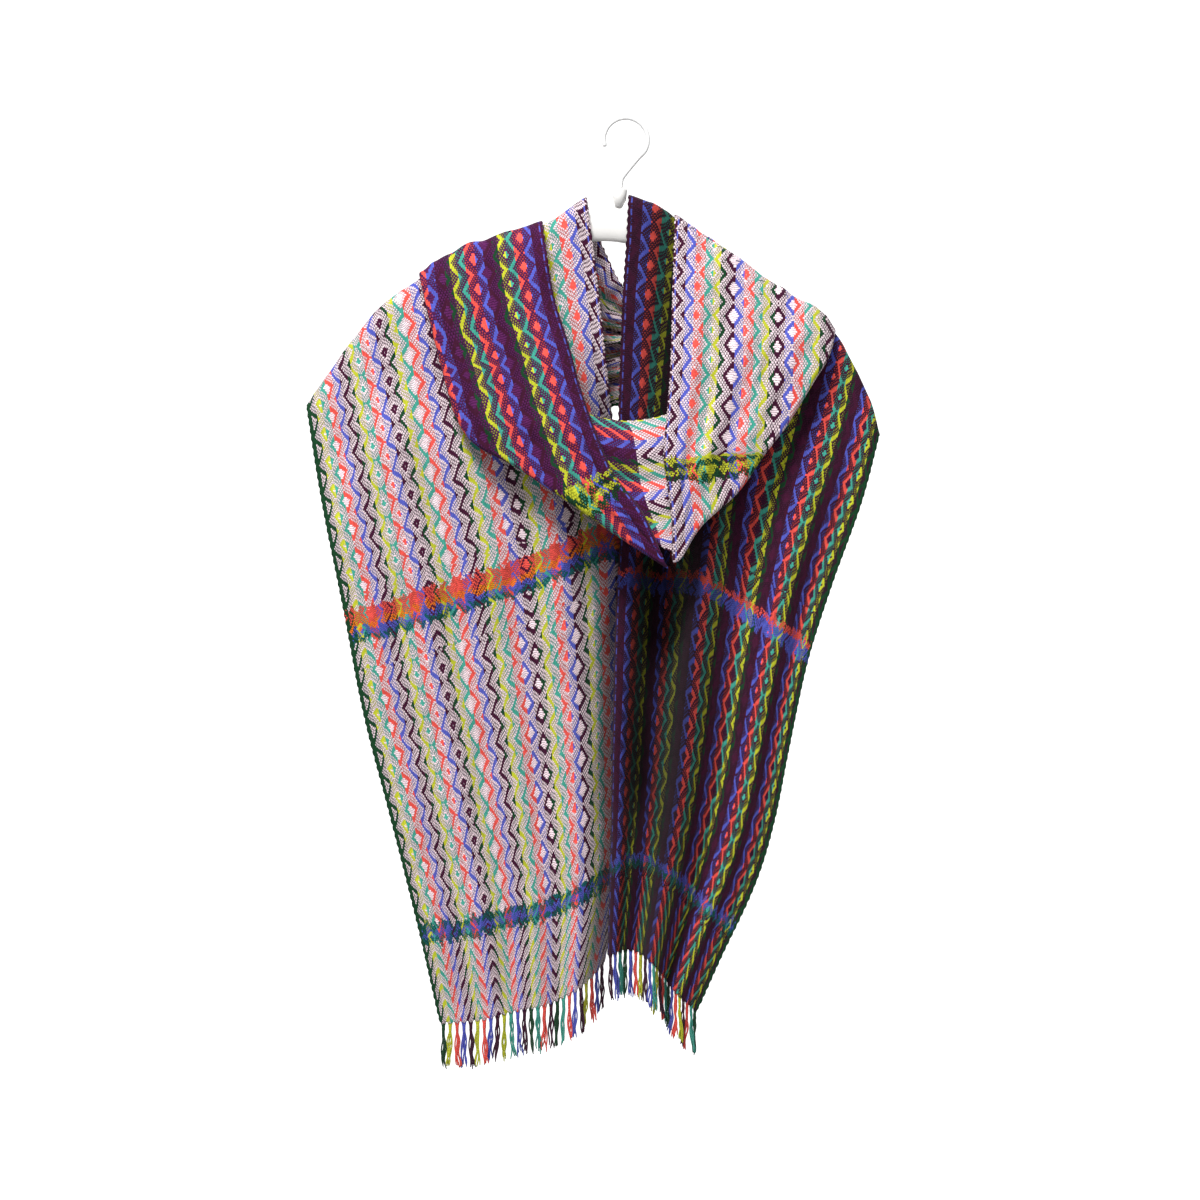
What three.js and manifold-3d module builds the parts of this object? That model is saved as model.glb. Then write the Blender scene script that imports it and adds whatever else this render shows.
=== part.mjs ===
import * as THREE from 'three';
import { mergeVertices } from 'three/addons/utils/BufferGeometryUtils.js';
import Module from 'manifold-3d';

// A handwoven scarf wound once round the neck of a clothes hanger, in millimetres, +Z up.
// X runs to the right and Y runs away from the viewer. The origin is the inside top of the hook.
// The cloth is one band, cut 280 wide. Each stretch of it that shows is a solid of its own.

// Driving sizes
const WALL = 2;
const SEAM = 0.3;
const CREST_HEIGHT = { tail: 14, loop: 19, back: 9, none: 0 };
const FOLD_RAMP = 0.12;
const ROW_CROWDING = 1.7;
const SMALL_STEP = 1e-3;
const HANGER_TILT = 6 * Math.PI / 180;
const HANGER_DEPTH = 12;
const HANGER_SIDES = 14;
const HANGER_ROUNDING = 0.75;
const HANGER_TIP = 0.55;
const BOSS_RADIUS = 6;
const BOSS_TOP = -62;
const BOSS_FOOT = -80;
const BOSS_SIDES = 16;
const HOOK_WIRE = 4;
const HOOK_INSIDE = 36;
const HOOK_SHANK = { rise: 8, lean: 2.5, neck: -49 };
const HOOK_ARC = { from: -50, to: 205, steps: 9 };
const FOLD_RADIUS = { least: 1.2, most: 3.5, growth: 10, share: 0.2 };
const FOLD_LIP = { most: 24, share: 0.4 };
const LIP_COLUMNS = 2;
const ROUND_COLUMNS = 4;
const FRINGE_LENGTH = 42;
const FRINGE_STRIP = 3;
const FRINGE_GAP = 1.3;
const FRINGE_LEAN = { x: 1.2, y: 2.5 };
const ROOT_PLACE = 0.6;
const TASSEL_SHARE = 0.8;
const STRAND_WIDE = 1.5;
const STRAND_TAPER = 0.7;
const STRANDS_PER_TASSEL = 3;
const TASSELS_LEFT = 26;
const TASSELS_RIGHT = 22;

// Hanger arms, the same on both sides. Columns: reach from the middle, top, bottom.
const HANGER_ARM = [
  [0, -72.5, -110.7],
  [16, -73.5, -112],
  [32, -79, -116],
  [67, -107.5, -134],
  [105, -127.5, -151],
  [137, -140, -164],
  [170, -163, -184],
  [190, -182, -198],
  [198, -193, -198],
];

const COLOURS = {
  pale: 0xdcc4d0,
  dark: 0x4a1f52,
  fringe: 0x9a8f5a,
  hanger: 0xf4f3ef,
  hook: 0xd8d8d8,
};

// Lines over the arms where the cloth turns from front to back, columns x, z, from the green
// selvedge to the coral one. The inner ones lie on the hanger and the outer ones on the inner.
const CRESTS = {
  leftInner: [
    [-290, -258], [-274, -235], [-248, -198], [-220, -167], [-188, -143], [-151, -122], [-118, -112],
    [-78, -96], [-38, -71],
  ],
  leftOuter: [
    [-188, -136], [-168, -126], [-151, -115], [-131, -109], [-118, -105], [-97, -99], [-78, -92],
  ],
  rightInner: [
    [227, -284], [219, -255], [199, -213], [187, -194], [152, -169], [119, -148], [83, -122],
    [56, -101], [29, -79], [1, -69],
  ],
  rightOuter: [
    [187, -188], [174, -171], [152, -160], [119, -139], [94, -121], [66, -102], [43, -86],
  ],
};

// Stretches of cloth. head and foot are tables with columns x, z, from the green selvedge to the
// coral one. green and coral are the two sides from head to foot, with columns x, y, z.
// folds has columns headAt, footAt (place across, 0 green to 1 coral), rise, wide (share of the
// width), from, to (share of the length). A positive rise stands out from the hanger.
// crest is the height over which the head, or both ends of a back stretch, rounds over the arm.
const STRETCHES = {
  tail_left: {
    colour: 'pale', out: -1, rows: 22, columns: 18,
    crest: CREST_HEIGHT.tail, crestAtFoot: false,
    head: CRESTS.leftInner,
    foot: [
      [-169, -814], [-136, -812], [-105, -805], [-71, -798], [-46, -785], [-21, -765],
    ],
    green: [
      [-290, -8, -258], [-276, -12, -344], [-256, -14, -443], [-238, -16, -536], [-213, -18, -632],
      [-188, -20, -731], [-169, -22, -814],
    ],
    coral: [
      [-38, -9, -71], [-32, -9, -114], [-25, -9, -171], [-19, -8, -229], [-14, -4, -272],
      [-5, 4, -344], [-2, 12, -434], [-3, 14, -542], [-7, 8, -668], [-21, 0, -765],
    ],
    folds: [
      [0.10, 0.08, 7, 0.07, 0.10, 1.00],
      [0.30, 0.30, 9, 0.09, 0.08, 1.00],
      [0.52, 0.55, 8, 0.08, 0.12, 1.00],
      [0.74, 0.78, 12, 0.08, 0.25, 1.00],
    ],
    edgeCurl: { green: 0, coral: 60, wide: 0.16, from: 0.47 },
  },
  tail_right: {
    colour: 'dark', out: -1, rows: 22, columns: 30,
    crest: CREST_HEIGHT.tail, crestAtFoot: false,
    head: CRESTS.rightInner,
    foot: [
      [62, -805], [50, -794], [39, -783], [20, -758], [4, -750], [-8, -751], [-18, -755],
    ],
    green: [
      [227, -8, -284], [211, -10, -344], [184, -14, -419], [162, -16, -488], [144, -16, -572],
      [132, -15, -632], [116, -14, -686], [82, -12, -760], [62, -10, -805],
    ],
    coral: [
      [1, -9, -69], [-1, -9, -110], [-4, -9, -155], [-7, -10, -229], [-8, -11, -281],
      [-5, -14, -344], [-10, -20, -434], [-13, -26, -542], [-15, -27, -650], [-18, -26, -755],
    ],
    folds: [
      [0.87, 0.86, -38, 0.08, 0.36, 1.00],
      [0.77, 0.75, -40, 0.08, 0.36, 1.00],
      [0.82, 0.80, 34, 0.13, 0.76, 1.00],
      [0.62, 0.58, 22, 0.08, 0.26, 1.00],
      [0.44, 0.38, -10, 0.07, 0.30, 1.00],
      [0.24, 0.20, 10, 0.08, 0.12, 1.00],
    ],
    edgeCurl: { green: 0, coral: 18, wide: 0.08, from: 0.35 },
  },
  loop_left: {
    colour: 'dark', out: -1, rows: 15, columns: 18,
    crest: CREST_HEIGHT.loop, crestAtFoot: false, doubled: true,
    head: CRESTS.leftOuter,
    foot: [
      [35, -405], [32, -400], [30, -394],
    ],
    green: [
      [-188, -17, -138], [-178, -24, -182], [-165, -30, -233], [-153, -34, -272], [-138, -38, -293],
      [-101, -44, -314], [-53, -52, -346], [-13, -58, -374], [35, -62, -405],
    ],
    coral: [
      [-78, -17, -92], [-73, -26, -126], [-66, -34, -165], [-54, -42, -203], [-44, -49, -241],
      [-33, -54, -274], [-24, -57, -297], [-13, -60, -322], [12, -63, -355], [30, -63, -394],
    ],
    folds: [
      [0.18, 0.20, 2.5, 0.08, 0.00, 0.50],
      [0.42, 0.45, 2.5, 0.08, 0.00, 0.60],
      [0.68, 0.70, 2.5, 0.09, 0.00, 0.70],
      [0.88, 0.85, 3, 0.06, 0.05, 0.80],
    ],
    edgeCurl: { green: 0, coral: 7, wide: 0.10, from: 0.10 },
  },
  loop_right: {
    colour: 'pale', out: -1, rows: 15, columns: 17,
    crest: CREST_HEIGHT.loop, crestAtFoot: false, doubled: true,
    head: CRESTS.rightOuter,
    foot: [
      [48, -395], [44, -399], [40, -400],
    ],
    green: [
      [187, -17, -189], [181, -24, -213], [167, -30, -237], [140, -38, -280], [122, -44, -303],
      [99, -50, -336], [64, -58, -369], [48, -62, -395],
    ],
    coral: [
      [43, -17, -86], [40, -34, -164], [38, -46, -229], [35, -52, -267], [32, -57, -303],
      [35, -60, -330], [39, -62, -362], [40, -63, -400],
    ],
    folds: [
      [0.20, 0.25, 3, 0.09, 0.02, 0.60],
      [0.50, 0.50, 5, 0.10, 0.10, 0.80],
      [0.80, 0.80, 3, 0.07, 0.05, 0.85],
    ],
    edgeCurl: { green: 0, coral: 5, wide: 0.09, from: 0.10 },
  },
  loop_front: {
    colour: 'dark', out: -1, rows: 10, columns: 10,
    crest: CREST_HEIGHT.none, crestAtFoot: false,
    head: [
      [-61, -254], [-41, -290], [-22, -330], [2, -366], [32, -387],
    ],
    foot: [
      [59, -254], [56, -290], [54, -326], [50, -357], [41, -387],
    ],
    green: [
      [-61, -37, -254], [-32, -33, -268], [-2, -31, -273], [32, -32, -268], [59, -35, -254],
    ],
    coral: [
      [32, -56, -387], [35, -56, -389], [37, -56, -390], [39, -56, -389], [41, -56, -387],
    ],
    folds: [
      [0.25, 0.25, 4, 0.10, 0.15, 0.85],
      [0.62, 0.62, 3, 0.10, 0.20, 0.80],
    ],
    edgeCurl: { green: 9, coral: 0, wide: 0.14, from: 0.00 },
  },
  back_pale: {
    colour: 'pale', out: 1, rows: 20, columns: 22,
    crest: CREST_HEIGHT.back, crestAtFoot: true,
    head: CRESTS.leftInner,
    foot: CRESTS.rightOuter,
    green: [
      [-290, 8, -258], [-250, 10, -301], [-187, 14, -310], [-97, 20, -281], [-6, 31, -256],
      [83, 38, -252], [146, 31, -229], [187, 18, -189],
    ],
    coral: [
      [-38, 9, -71], [-31, 9, -94], [-22, 10, -116], [-4, 20, -150], [15, 30, -164],
      [29, 30, -141], [38, 24, -110], [43, 18, -86],
    ],
    folds: [
      [0.15, 0.15, 12, 0.06, 0.12, 0.97],
      [0.40, 0.40, 14, 0.06, 0.12, 0.97],
      [0.65, 0.62, 14, 0.06, 0.12, 0.97],
      [0.88, 0.85, 10, 0.05, 0.15, 0.97],
    ],
    edgeCurl: { green: 0, coral: 0, wide: 0.05, from: 0.0 },
  },
  back_dark: {
    colour: 'dark', out: 1, rows: 20, columns: 22,
    crest: CREST_HEIGHT.back, crestAtFoot: true,
    head: CRESTS.leftOuter,
    foot: CRESTS.rightInner,
    green: [
      [-188, 18, -138], [-182, 26, -200], [-142, 34, -290], [-79, 34, -362], [-6, 30, -387],
      [83, 22, -375], [173, 12, -326], [227, 8, -284],
    ],
    coral: [
      [-78, 18, -92], [-68, 33, -146], [-48, 43, -218], [-21, 41, -274], [4, 26, -290],
      [14, 13, -227], [11, 11, -146], [1, 11, -69],
    ],
    folds: [
      [0.18, 0.16, 2.5, 0.08, 0.00, 0.20],
      [0.42, 0.42, 2.5, 0.08, 0.00, 0.20],
      [0.68, 0.68, 2.5, 0.09, 0.00, 0.20],
      [0.15, 0.15, 12, 0.06, 0.03, 0.88],
      [0.40, 0.38, 14, 0.06, 0.03, 0.88],
      [0.65, 0.62, 14, 0.06, 0.03, 0.86],
      [0.88, 0.85, 10, 0.05, 0.05, 0.84],
    ],
    edgeCurl: { green: 0, coral: 0, wide: 0.05, from: 0.0 },
  },
};

function smooth(low, high, value) {
  const share = Math.min(1, Math.max(0, (value - low) / (high - low)));
  return share * share * (3 - 2 * share);
}

function curveOf(points) {
  return new THREE.CatmullRomCurve3(points, false, 'centripetal');
}

function sideCurve(table) {
  return curveOf(table.map(([x, y, z]) => new THREE.Vector3(x, y, z)));
}

function endCurve(table) {
  return curveOf(table.map(([x, z]) => new THREE.Vector3(x, 0, z)));
}

// A patch spanned by its four edges: across runs from green to coral, along from head to foot.
function patchOf({ head, foot, green, coral }) {
  const ends = [endCurve(head), endCurve(foot)];
  const sides = [sideCurve(green), sideCurve(coral)];
  const corners = ends.map((end) => [end.getPointAt(0), end.getPointAt(1)]);
  return (across, along) => {
    const [atHead, atFoot] = ends.map((end) => end.getPointAt(across));
    const [atGreen, atCoral] = sides.map((side) => side.getPointAt(along));
    const blend = (axis) => {
      const lengthways = (1 - along) * atHead[axis] + along * atFoot[axis];
      const sideways = (1 - across) * atGreen[axis] + across * atCoral[axis];
      const [headEnds, footEnds] = corners.map(([a, b]) => (1 - across) * a[axis] + across * b[axis]);
      return lengthways + sideways - (1 - along) * headEnds - along * footEnds;
    };
    const depth = (1 - across) * atGreen.y + across * atCoral.y;
    return { x: blend('x'), y: depth, z: blend('z') };
  };
}

function foldHeight(folds, across, along) {
  let height = 0;
  for (const [headAt, footAt, rise, wide, from, to] of folds) {
    const place = headAt + (footAt - headAt) * along;
    const distance = (across - place) / wide;
    const start = from > 0 ? smooth(from, from + FOLD_RAMP, along) : 1;
    const end = to < 1 ? 1 - smooth(to - FOLD_RAMP, to, along) : 1;
    height += rise * start * end * Math.exp(-distance * distance);
  }
  return height;
}

function curlDepth({ green, coral, wide, from }, across, along) {
  const start = smooth(from, from + FOLD_RAMP, along);
  const atGreen = Math.max(0, 1 - across / wide);
  const atCoral = Math.max(0, 1 - (1 - across) / wide);
  return start * (green * atGreen * atGreen + coral * atCoral * atCoral);
}

// Across a face that doubles under at its green side: a lip behind, a half round, then the face.
// Gives the place across the face and how far behind it the cloth lies.
function doubledUnder(across, columns, width, along) {
  const grown = FOLD_RADIUS.least + FOLD_RADIUS.growth * along;
  const radius = Math.min(FOLD_RADIUS.most, grown, FOLD_RADIUS.share * width);
  const lip = Math.min(FOLD_LIP.most, FOLD_LIP.share * width);
  const lipEnd = LIP_COLUMNS / columns;
  const roundEnd = (LIP_COLUMNS + ROUND_COLUMNS) / columns;
  if (across < lipEnd) {
    const share = 1 - across / lipEnd;
    return { place: (radius + share * lip) / width, behind: 2 * radius };
  }
  if (across < roundEnd) {
    const angle = Math.PI * ((across - lipEnd) / (roundEnd - lipEnd) - 0.5);
    return {
      place: radius * (1 - Math.cos(angle)) / width,
      behind: radius * (1 - Math.sin(angle)),
    };
  }
  const share = (across - roundEnd) / (1 - roundEnd);
  return { place: radius / width + share * (1 - radius / width), behind: 0 };
}

// The middle of the wall. Near a crest the cloth turns over the arm on a quarter of an ellipse.
function middleSurface(stretch) {
  const patch = patchOf(stretch);
  const { out, crest, crestAtFoot, folds, edgeCurl, doubled, columns } = stretch;
  const lengthAt = (across) => {
    const from = patch(across, 0);
    const to = patch(across, 1);
    return Math.hypot(to.x - from.x, to.z - from.z) + 1;
  };
  const widthAt = (along) => {
    const green = patch(0, along);
    const coral = patch(1, along);
    return Math.hypot(coral.x - green.x, coral.z - green.z);
  };
  return (column, along) => {
    const { place: across, behind } = doubled
      ? doubledUnder(column, columns, widthAt(along), along)
      : { place: column, behind: 0 };
    const point = patch(across, along);
    const length = lengthAt(across);
    const fromHead = along * length;
    const fromFoot = crestAtFoot ? (1 - along) * length : Infinity;
    const near = crest > 0 ? Math.min(1, fromHead / crest, fromFoot / crest) : 1;
    const outward = Math.sqrt(1 - (1 - near) * (1 - near));
    const upward = 1 - near;
    const rise = foldHeight(folds, across, along);
    const curl = curlDepth(edgeCurl, across, along);
    const apex = SEAM / 2;
    const clear = near < 1 ? apex : -Infinity;
    const depth = Math.max((out * point.y - curl - behind) * outward, clear);
    return new THREE.Vector3(
      point.x,
      out * (depth + rise * outward),
      point.z + (rise - behind) * upward,
    );
  };
}

function solidFrom(positions, indices) {
  const geometry = new THREE.BufferGeometry();
  geometry.setAttribute('position', new THREE.Float32BufferAttribute(positions, 3));
  geometry.setIndex(indices);
  let volume = 0;
  const a = new THREE.Vector3();
  const b = new THREE.Vector3();
  const c = new THREE.Vector3();
  const place = geometry.getAttribute('position');
  for (let i = 0; i < indices.length; i += 3) {
    a.fromBufferAttribute(place, indices[i]);
    b.fromBufferAttribute(place, indices[i + 1]);
    c.fromBufferAttribute(place, indices[i + 2]);
    volume += a.dot(b.cross(c)) / 6;
  }
  if (volume < 0) {
    for (let i = 0; i < indices.length; i += 3) {
      [indices[i + 1], indices[i + 2]] = [indices[i + 2], indices[i + 1]];
    }
    geometry.setIndex(indices);
  }
  geometry.computeVertexNormals();
  return geometry;
}

// A closed wall on both sides of a middle surface.
function wallGeometry(middle, { rows, columns, crest, crestAtFoot }, rowAt) {
  const layers = [[], []];
  for (let row = 0; row <= rows; row += 1) {
    const along = rowAt(row / rows);
    for (let column = 0; column <= columns; column += 1) {
      const across = column / columns;
      const point = middle(across, along);
      const low = Math.max(0, across - SMALL_STEP);
      const high = Math.min(1, across + SMALL_STEP);
      const before = Math.max(0, along - SMALL_STEP);
      const after = Math.min(1, along + SMALL_STEP);
      const sideways = middle(high, along).sub(middle(low, along));
      const lengthways = middle(across, after).sub(middle(across, before));
      const normal = sideways.cross(lengthways);
      const onCrest = (row === 0 && crest > 0) || (row === rows && crestAtFoot);
      if (onCrest) normal.y = 0;
      normal.normalize();
      layers[0].push(point.clone().addScaledVector(normal, WALL / 2));
      layers[1].push(point.clone().addScaledVector(normal, -WALL / 2));
    }
  }
  const width = columns + 1;
  const count = layers[0].length;
  const positions = [...layers[0], ...layers[1]].flatMap((point) => point.toArray());
  const indices = [];
  const quad = (a, b, c, d) => indices.push(a, b, c, a, c, d);
  for (let row = 0; row < rows; row += 1) {
    for (let column = 0; column < columns; column += 1) {
      const corner = row * width + column;
      quad(corner, corner + 1, corner + width + 1, corner + width);
      quad(count + corner, count + corner + width, count + corner + width + 1, count + corner + 1);
    }
  }
  const rim = [];
  for (let column = 0; column < columns; column += 1) rim.push(column);
  for (let row = 0; row < rows; row += 1) rim.push(row * width + columns);
  for (let column = columns; column > 0; column -= 1) rim.push(rows * width + column);
  for (let row = rows; row > 0; row -= 1) rim.push(row * width);
  rim.forEach((here, place) => {
    const next = rim[(place + 1) % rim.length];
    quad(here, count + here, count + next, next);
  });
  return solidFrom(positions, indices);
}

// Rows stand closer at a crest, where the cloth turns most.
function rowSpacing(crestAtFoot) {
  if (crestAtFoot) return (share) => 0.5 - 0.5 * Math.cos(Math.PI * share);
  return (share) => Math.pow(share, ROW_CROWDING);
}

function meshOf(name, geometry, colour, roughness, metalness) {
  const material = new THREE.MeshStandardMaterial({ color: colour, roughness, metalness });
  const mesh = new THREE.Mesh(geometry, material);
  mesh.name = name;
  return mesh;
}

// A small repeatable spread between -1 and 1 for the strands.
function spread(seed) {
  const value = Math.sin(seed * 12.9898 + 4.137) * 43758.5453;
  return 2 * (value - Math.floor(value)) - 1;
}

let wasm;

async function startBooleans() {
  wasm = await Module();
  wasm.setup();
}

function toManifold(geometry) {
  const bare = geometry.clone();
  bare.deleteAttribute('normal');
  if (bare.getAttribute('uv')) bare.deleteAttribute('uv');
  const merged = mergeVertices(bare, 1e-4);
  return new wasm.Manifold(new wasm.Mesh({
    numProp: 3,
    vertProperties: new Float32Array(merged.getAttribute('position').array),
    triVerts: new Uint32Array(merged.index.array),
  }));
}

function fromManifold(manifold) {
  const mesh = manifold.getMesh();
  return solidFrom(Array.from(mesh.vertProperties), Array.from(mesh.triVerts));
}

// A strand of three sides from its root in the strip down to its loose end.
function strandGeometry(root, lean, length, turn) {
  const sections = [{ drop: 0, wide: 1 }, { drop: length, wide: STRAND_TAPER }];
  const sides = 3;
  const positions = [];
  for (const { drop, wide } of sections) {
    const share = drop / length;
    for (let side = 0; side < sides; side += 1) {
      const angle = turn + side * 2 * Math.PI / sides;
      const radius = wide * STRAND_WIDE / Math.sqrt(3);
      positions.push(
        root.x + lean.x * share + radius * Math.cos(angle),
        root.y + lean.y * share + radius * Math.sin(angle),
        root.z - drop,
      );
    }
  }
  const indices = [0, 1, 2];
  for (let section = 0; section + 1 < sections.length; section += 1) {
    for (let side = 0; side < sides; side += 1) {
      const a = section * sides + side;
      const b = section * sides + (side + 1) % sides;
      indices.push(a, a + sides, b + sides, a, b + sides, b);
    }
  }
  const last = (sections.length - 1) * sides;
  indices.push(last, last + 2, last + 1);
  return solidFrom(positions, indices);
}

// The strip that carries the strands follows the hem, just below it.
function fringeGeometry(middle, columns, tassels, seed) {
  const below = (across, distance) => {
    const hem = middle(across, 1);
    const along = hem.clone().sub(middle(across, 1 - SMALL_STEP)).normalize();
    return hem.addScaledVector(along, distance);
  };
  const strip = (across, share) => below(across, FRINGE_GAP + share * FRINGE_STRIP);
  const flat = { rows: 1, columns, crest: 0, crestAtFoot: false };
  let whole = toManifold(wallGeometry(strip, flat, (share) => share));
  for (let tassel = 0; tassel < tassels; tassel += 1) {
    for (let strand = 0; strand < STRANDS_PER_TASSEL; strand += 1) {
      const number = seed + tassel * STRANDS_PER_TASSEL + strand;
      const inTassel = (strand + 0.5) / STRANDS_PER_TASSEL - 0.5;
      const across = (tassel + 0.5 + TASSEL_SHARE * inTassel) / tassels;
      const column = Math.min(columns - 1, Math.floor(across * columns));
      const near = below(column / columns, FRINGE_GAP + ROOT_PLACE * FRINGE_STRIP);
      const far = below((column + 1) / columns, FRINGE_GAP + ROOT_PLACE * FRINGE_STRIP);
      const root = near.lerp(far, across * columns - column);
      const lean = {
        x: FRINGE_LEAN.x * spread(number),
        y: FRINGE_LEAN.y * spread(number + 0.5),
      };
      const length = FRINGE_LENGTH * (0.92 + 0.08 * spread(number + 0.25)) - FRINGE_STRIP;
      const turn = Math.PI * spread(number + 0.75);
      whole = whole.add(toManifold(strandGeometry(root, lean, length, turn)));
    }
  }
  return fromManifold(whole);
}

// Closed rings through the hanger from tip to tip, rounded front and back.
function hangerGeometry() {
  const right = HANGER_ARM.map(([reach, top, bottom]) => ({ reach, top, bottom }));
  const left = right.slice(1).reverse().map((ring) => ({ ...ring, reach: -ring.reach }));
  const rings = [...left, ...right];
  const positions = [];
  for (const { reach, top, bottom } of rings) {
    const tip = Math.abs(reach) === HANGER_ARM.at(-1)[0] ? HANGER_TIP : 1;
    for (let side = 0; side < HANGER_SIDES; side += 1) {
      const angle = side * 2 * Math.PI / HANGER_SIDES;
      const round = Math.sign(Math.cos(angle)) * Math.abs(Math.cos(angle)) ** HANGER_ROUNDING;
      positions.push(
        reach,
        tip * HANGER_DEPTH / 2 * Math.sin(angle),
        (top + bottom) / 2 + (top - bottom) / 2 * round,
      );
    }
  }
  const indices = [];
  for (let ring = 0; ring + 1 < rings.length; ring += 1) {
    for (let side = 0; side < HANGER_SIDES; side += 1) {
      const a = ring * HANGER_SIDES + side;
      const b = ring * HANGER_SIDES + (side + 1) % HANGER_SIDES;
      indices.push(a, a + HANGER_SIDES, b + HANGER_SIDES, a, b + HANGER_SIDES, b);
    }
  }
  const last = (rings.length - 1) * HANGER_SIDES;
  for (let side = 1; side + 1 < HANGER_SIDES; side += 1) {
    indices.push(0, side, side + 1);
    indices.push(last, last + side + 1, last + side);
  }
  const arms = solidFrom(positions, indices);
  const profile = [[0, BOSS_FOOT], [BOSS_RADIUS, BOSS_FOOT], [BOSS_RADIUS, BOSS_TOP], [0, BOSS_TOP]];
  const boss = new THREE.LatheGeometry(profile.map(([x, y]) => new THREE.Vector2(x, y)), BOSS_SIDES);
  boss.rotateX(Math.PI / 2);
  return fromManifold(toManifold(arms).add(toManifold(boss)));
}

// Round wire: a shank up from the boss, then most of a circle over the rail.
function hookGeometry() {
  const radius = (HOOK_INSIDE + HOOK_WIRE) / 2;
  const centre = -HOOK_INSIDE / 2;
  const points = [
    new THREE.Vector3(0, 0, BOSS_TOP + SEAM),
    new THREE.Vector3(0, 0, BOSS_TOP + HOOK_SHANK.rise),
    new THREE.Vector3(HOOK_SHANK.lean, 0, HOOK_SHANK.neck),
  ];
  const { from, to, steps } = HOOK_ARC;
  for (let step = 0; step <= steps; step += 1) {
    const angle = (from + (to - from) * step / steps) * Math.PI / 180;
    const x = radius * Math.cos(angle);
    points.push(new THREE.Vector3(x, 0, centre + radius * Math.sin(angle)));
  }
  const path = new THREE.CatmullRomCurve3(points, false, 'centripetal');
  const section = new THREE.Shape();
  section.absarc(0, 0, HOOK_WIRE / 2, 0, 2 * Math.PI, false);
  return new THREE.ExtrudeGeometry(section, {
    steps: 32, curveSegments: 4, extrudePath: path, bevelEnabled: false,
  });
}

await startBooleans();

const scarf = new THREE.Group();
for (const [name, stretch] of Object.entries(STRETCHES)) {
  const spacing = rowSpacing(stretch.crestAtFoot);
  const geometry = wallGeometry(middleSurface(stretch), stretch, spacing);
  scarf.add(meshOf(name, geometry, COLOURS[stretch.colour], 0.85, 0));
}

const FRINGES = [
  { name: 'fringe_left', tail: 'tail_left', tassels: TASSELS_LEFT, seed: 1 },
  { name: 'fringe_right', tail: 'tail_right', tassels: TASSELS_RIGHT, seed: 301 },
];
for (const { name, tail, tassels, seed } of FRINGES) {
  const stretch = STRETCHES[tail];
  const geometry = fringeGeometry(middleSurface(stretch), stretch.columns, tassels, seed);
  scarf.add(meshOf(name, geometry, COLOURS.fringe, 0.8, 0));
}

const hanger = new THREE.Group();
hanger.rotation.y = HANGER_TILT;
hanger.add(meshOf('hanger_body', hangerGeometry(), COLOURS.hanger, 0.35, 0));
hanger.add(meshOf('hanger_hook', hookGeometry(), COLOURS.hook, 0.3, 0.9));
scarf.add(hanger);

export default scarf;
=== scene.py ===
"""A handwoven scarf wound once round the neck of a clothes hanger, built in Blender.

The cloth is one band, 280 mm wide, in a point twill: narrow warp stripes in six colours, with a pale
weft on one half and a deep purple weft on the other. Each stretch that shows is a piece of its own.
Tables are in millimetres, with X to the right, Y away from the viewer and Z up. The floor, the sheet
behind, the lights and the camera are in metres.
"""
import math

import bpy
import numpy as np
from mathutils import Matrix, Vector


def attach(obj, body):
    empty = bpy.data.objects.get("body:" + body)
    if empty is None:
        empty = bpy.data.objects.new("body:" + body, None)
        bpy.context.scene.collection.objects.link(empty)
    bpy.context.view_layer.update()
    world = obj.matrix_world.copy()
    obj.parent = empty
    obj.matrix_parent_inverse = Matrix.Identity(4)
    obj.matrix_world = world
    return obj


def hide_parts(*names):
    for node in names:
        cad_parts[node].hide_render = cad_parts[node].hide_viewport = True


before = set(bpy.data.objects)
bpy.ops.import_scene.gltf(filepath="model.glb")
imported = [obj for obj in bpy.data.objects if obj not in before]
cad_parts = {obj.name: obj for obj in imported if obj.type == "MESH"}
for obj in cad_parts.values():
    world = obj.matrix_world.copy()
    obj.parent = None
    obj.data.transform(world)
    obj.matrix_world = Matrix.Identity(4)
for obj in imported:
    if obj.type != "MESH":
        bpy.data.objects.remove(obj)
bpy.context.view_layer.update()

MM = 0.001

# Driving sizes of the cloth, the same as the solids have.
SEAM = 0.3
CREST_HEIGHT = {"tail": 14, "loop": 19, "back": 9, "none": 0}
FOLD_RAMP = 0.12
FOLD_RADIUS = {"least": 1.2, "most": 3.5, "growth": 10, "share": 0.2}
FOLD_LIP = {"most": 24, "share": 0.4}
LIP_COLUMNS = 2
ROUND_COLUMNS = 4
SMALL_STEP = 1e-3
# Where a tube runs this near to straight back, its rings take their side from X instead.
WEAK_SIDE = 0.2

# How the grid is laid: points on a lip and on its round, places where the width is read, and how
# the rows crowd towards one crest, or towards the crests at both ends.
LIP_POINTS = 10
ROUND_POINTS = 12
WIDTH_READINGS = 40
ROW_CROWDING = 1.25
ROWS_TO_BOTH_ENDS = {"even": 0.35, "crowded": 0.65}
PLACES_AT_ONCE = 4000

# The woven shell: its thickness, the side of a grid square, and the loom's width.
CLOTH_THICK = 1.5
GRID_STEP = 2.3
RIM_ROUND = 0.6
BAND_WIDTH = 280
END_PITCH = 1.3
PICK_PITCH = 1.9

# The hanger and its hook.
HANGER_TILT = math.radians(6)
HANGER_DEPTH = 12
HANGER_ROUNDING = 0.75
HANGER_TIP = 0.55
HANGER_SIDES = 48
HANGER_RINGS = 160
BOSS_RADIUS = 6
BOSS_TOP = -62
BOSS_FOOT = -80
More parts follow.
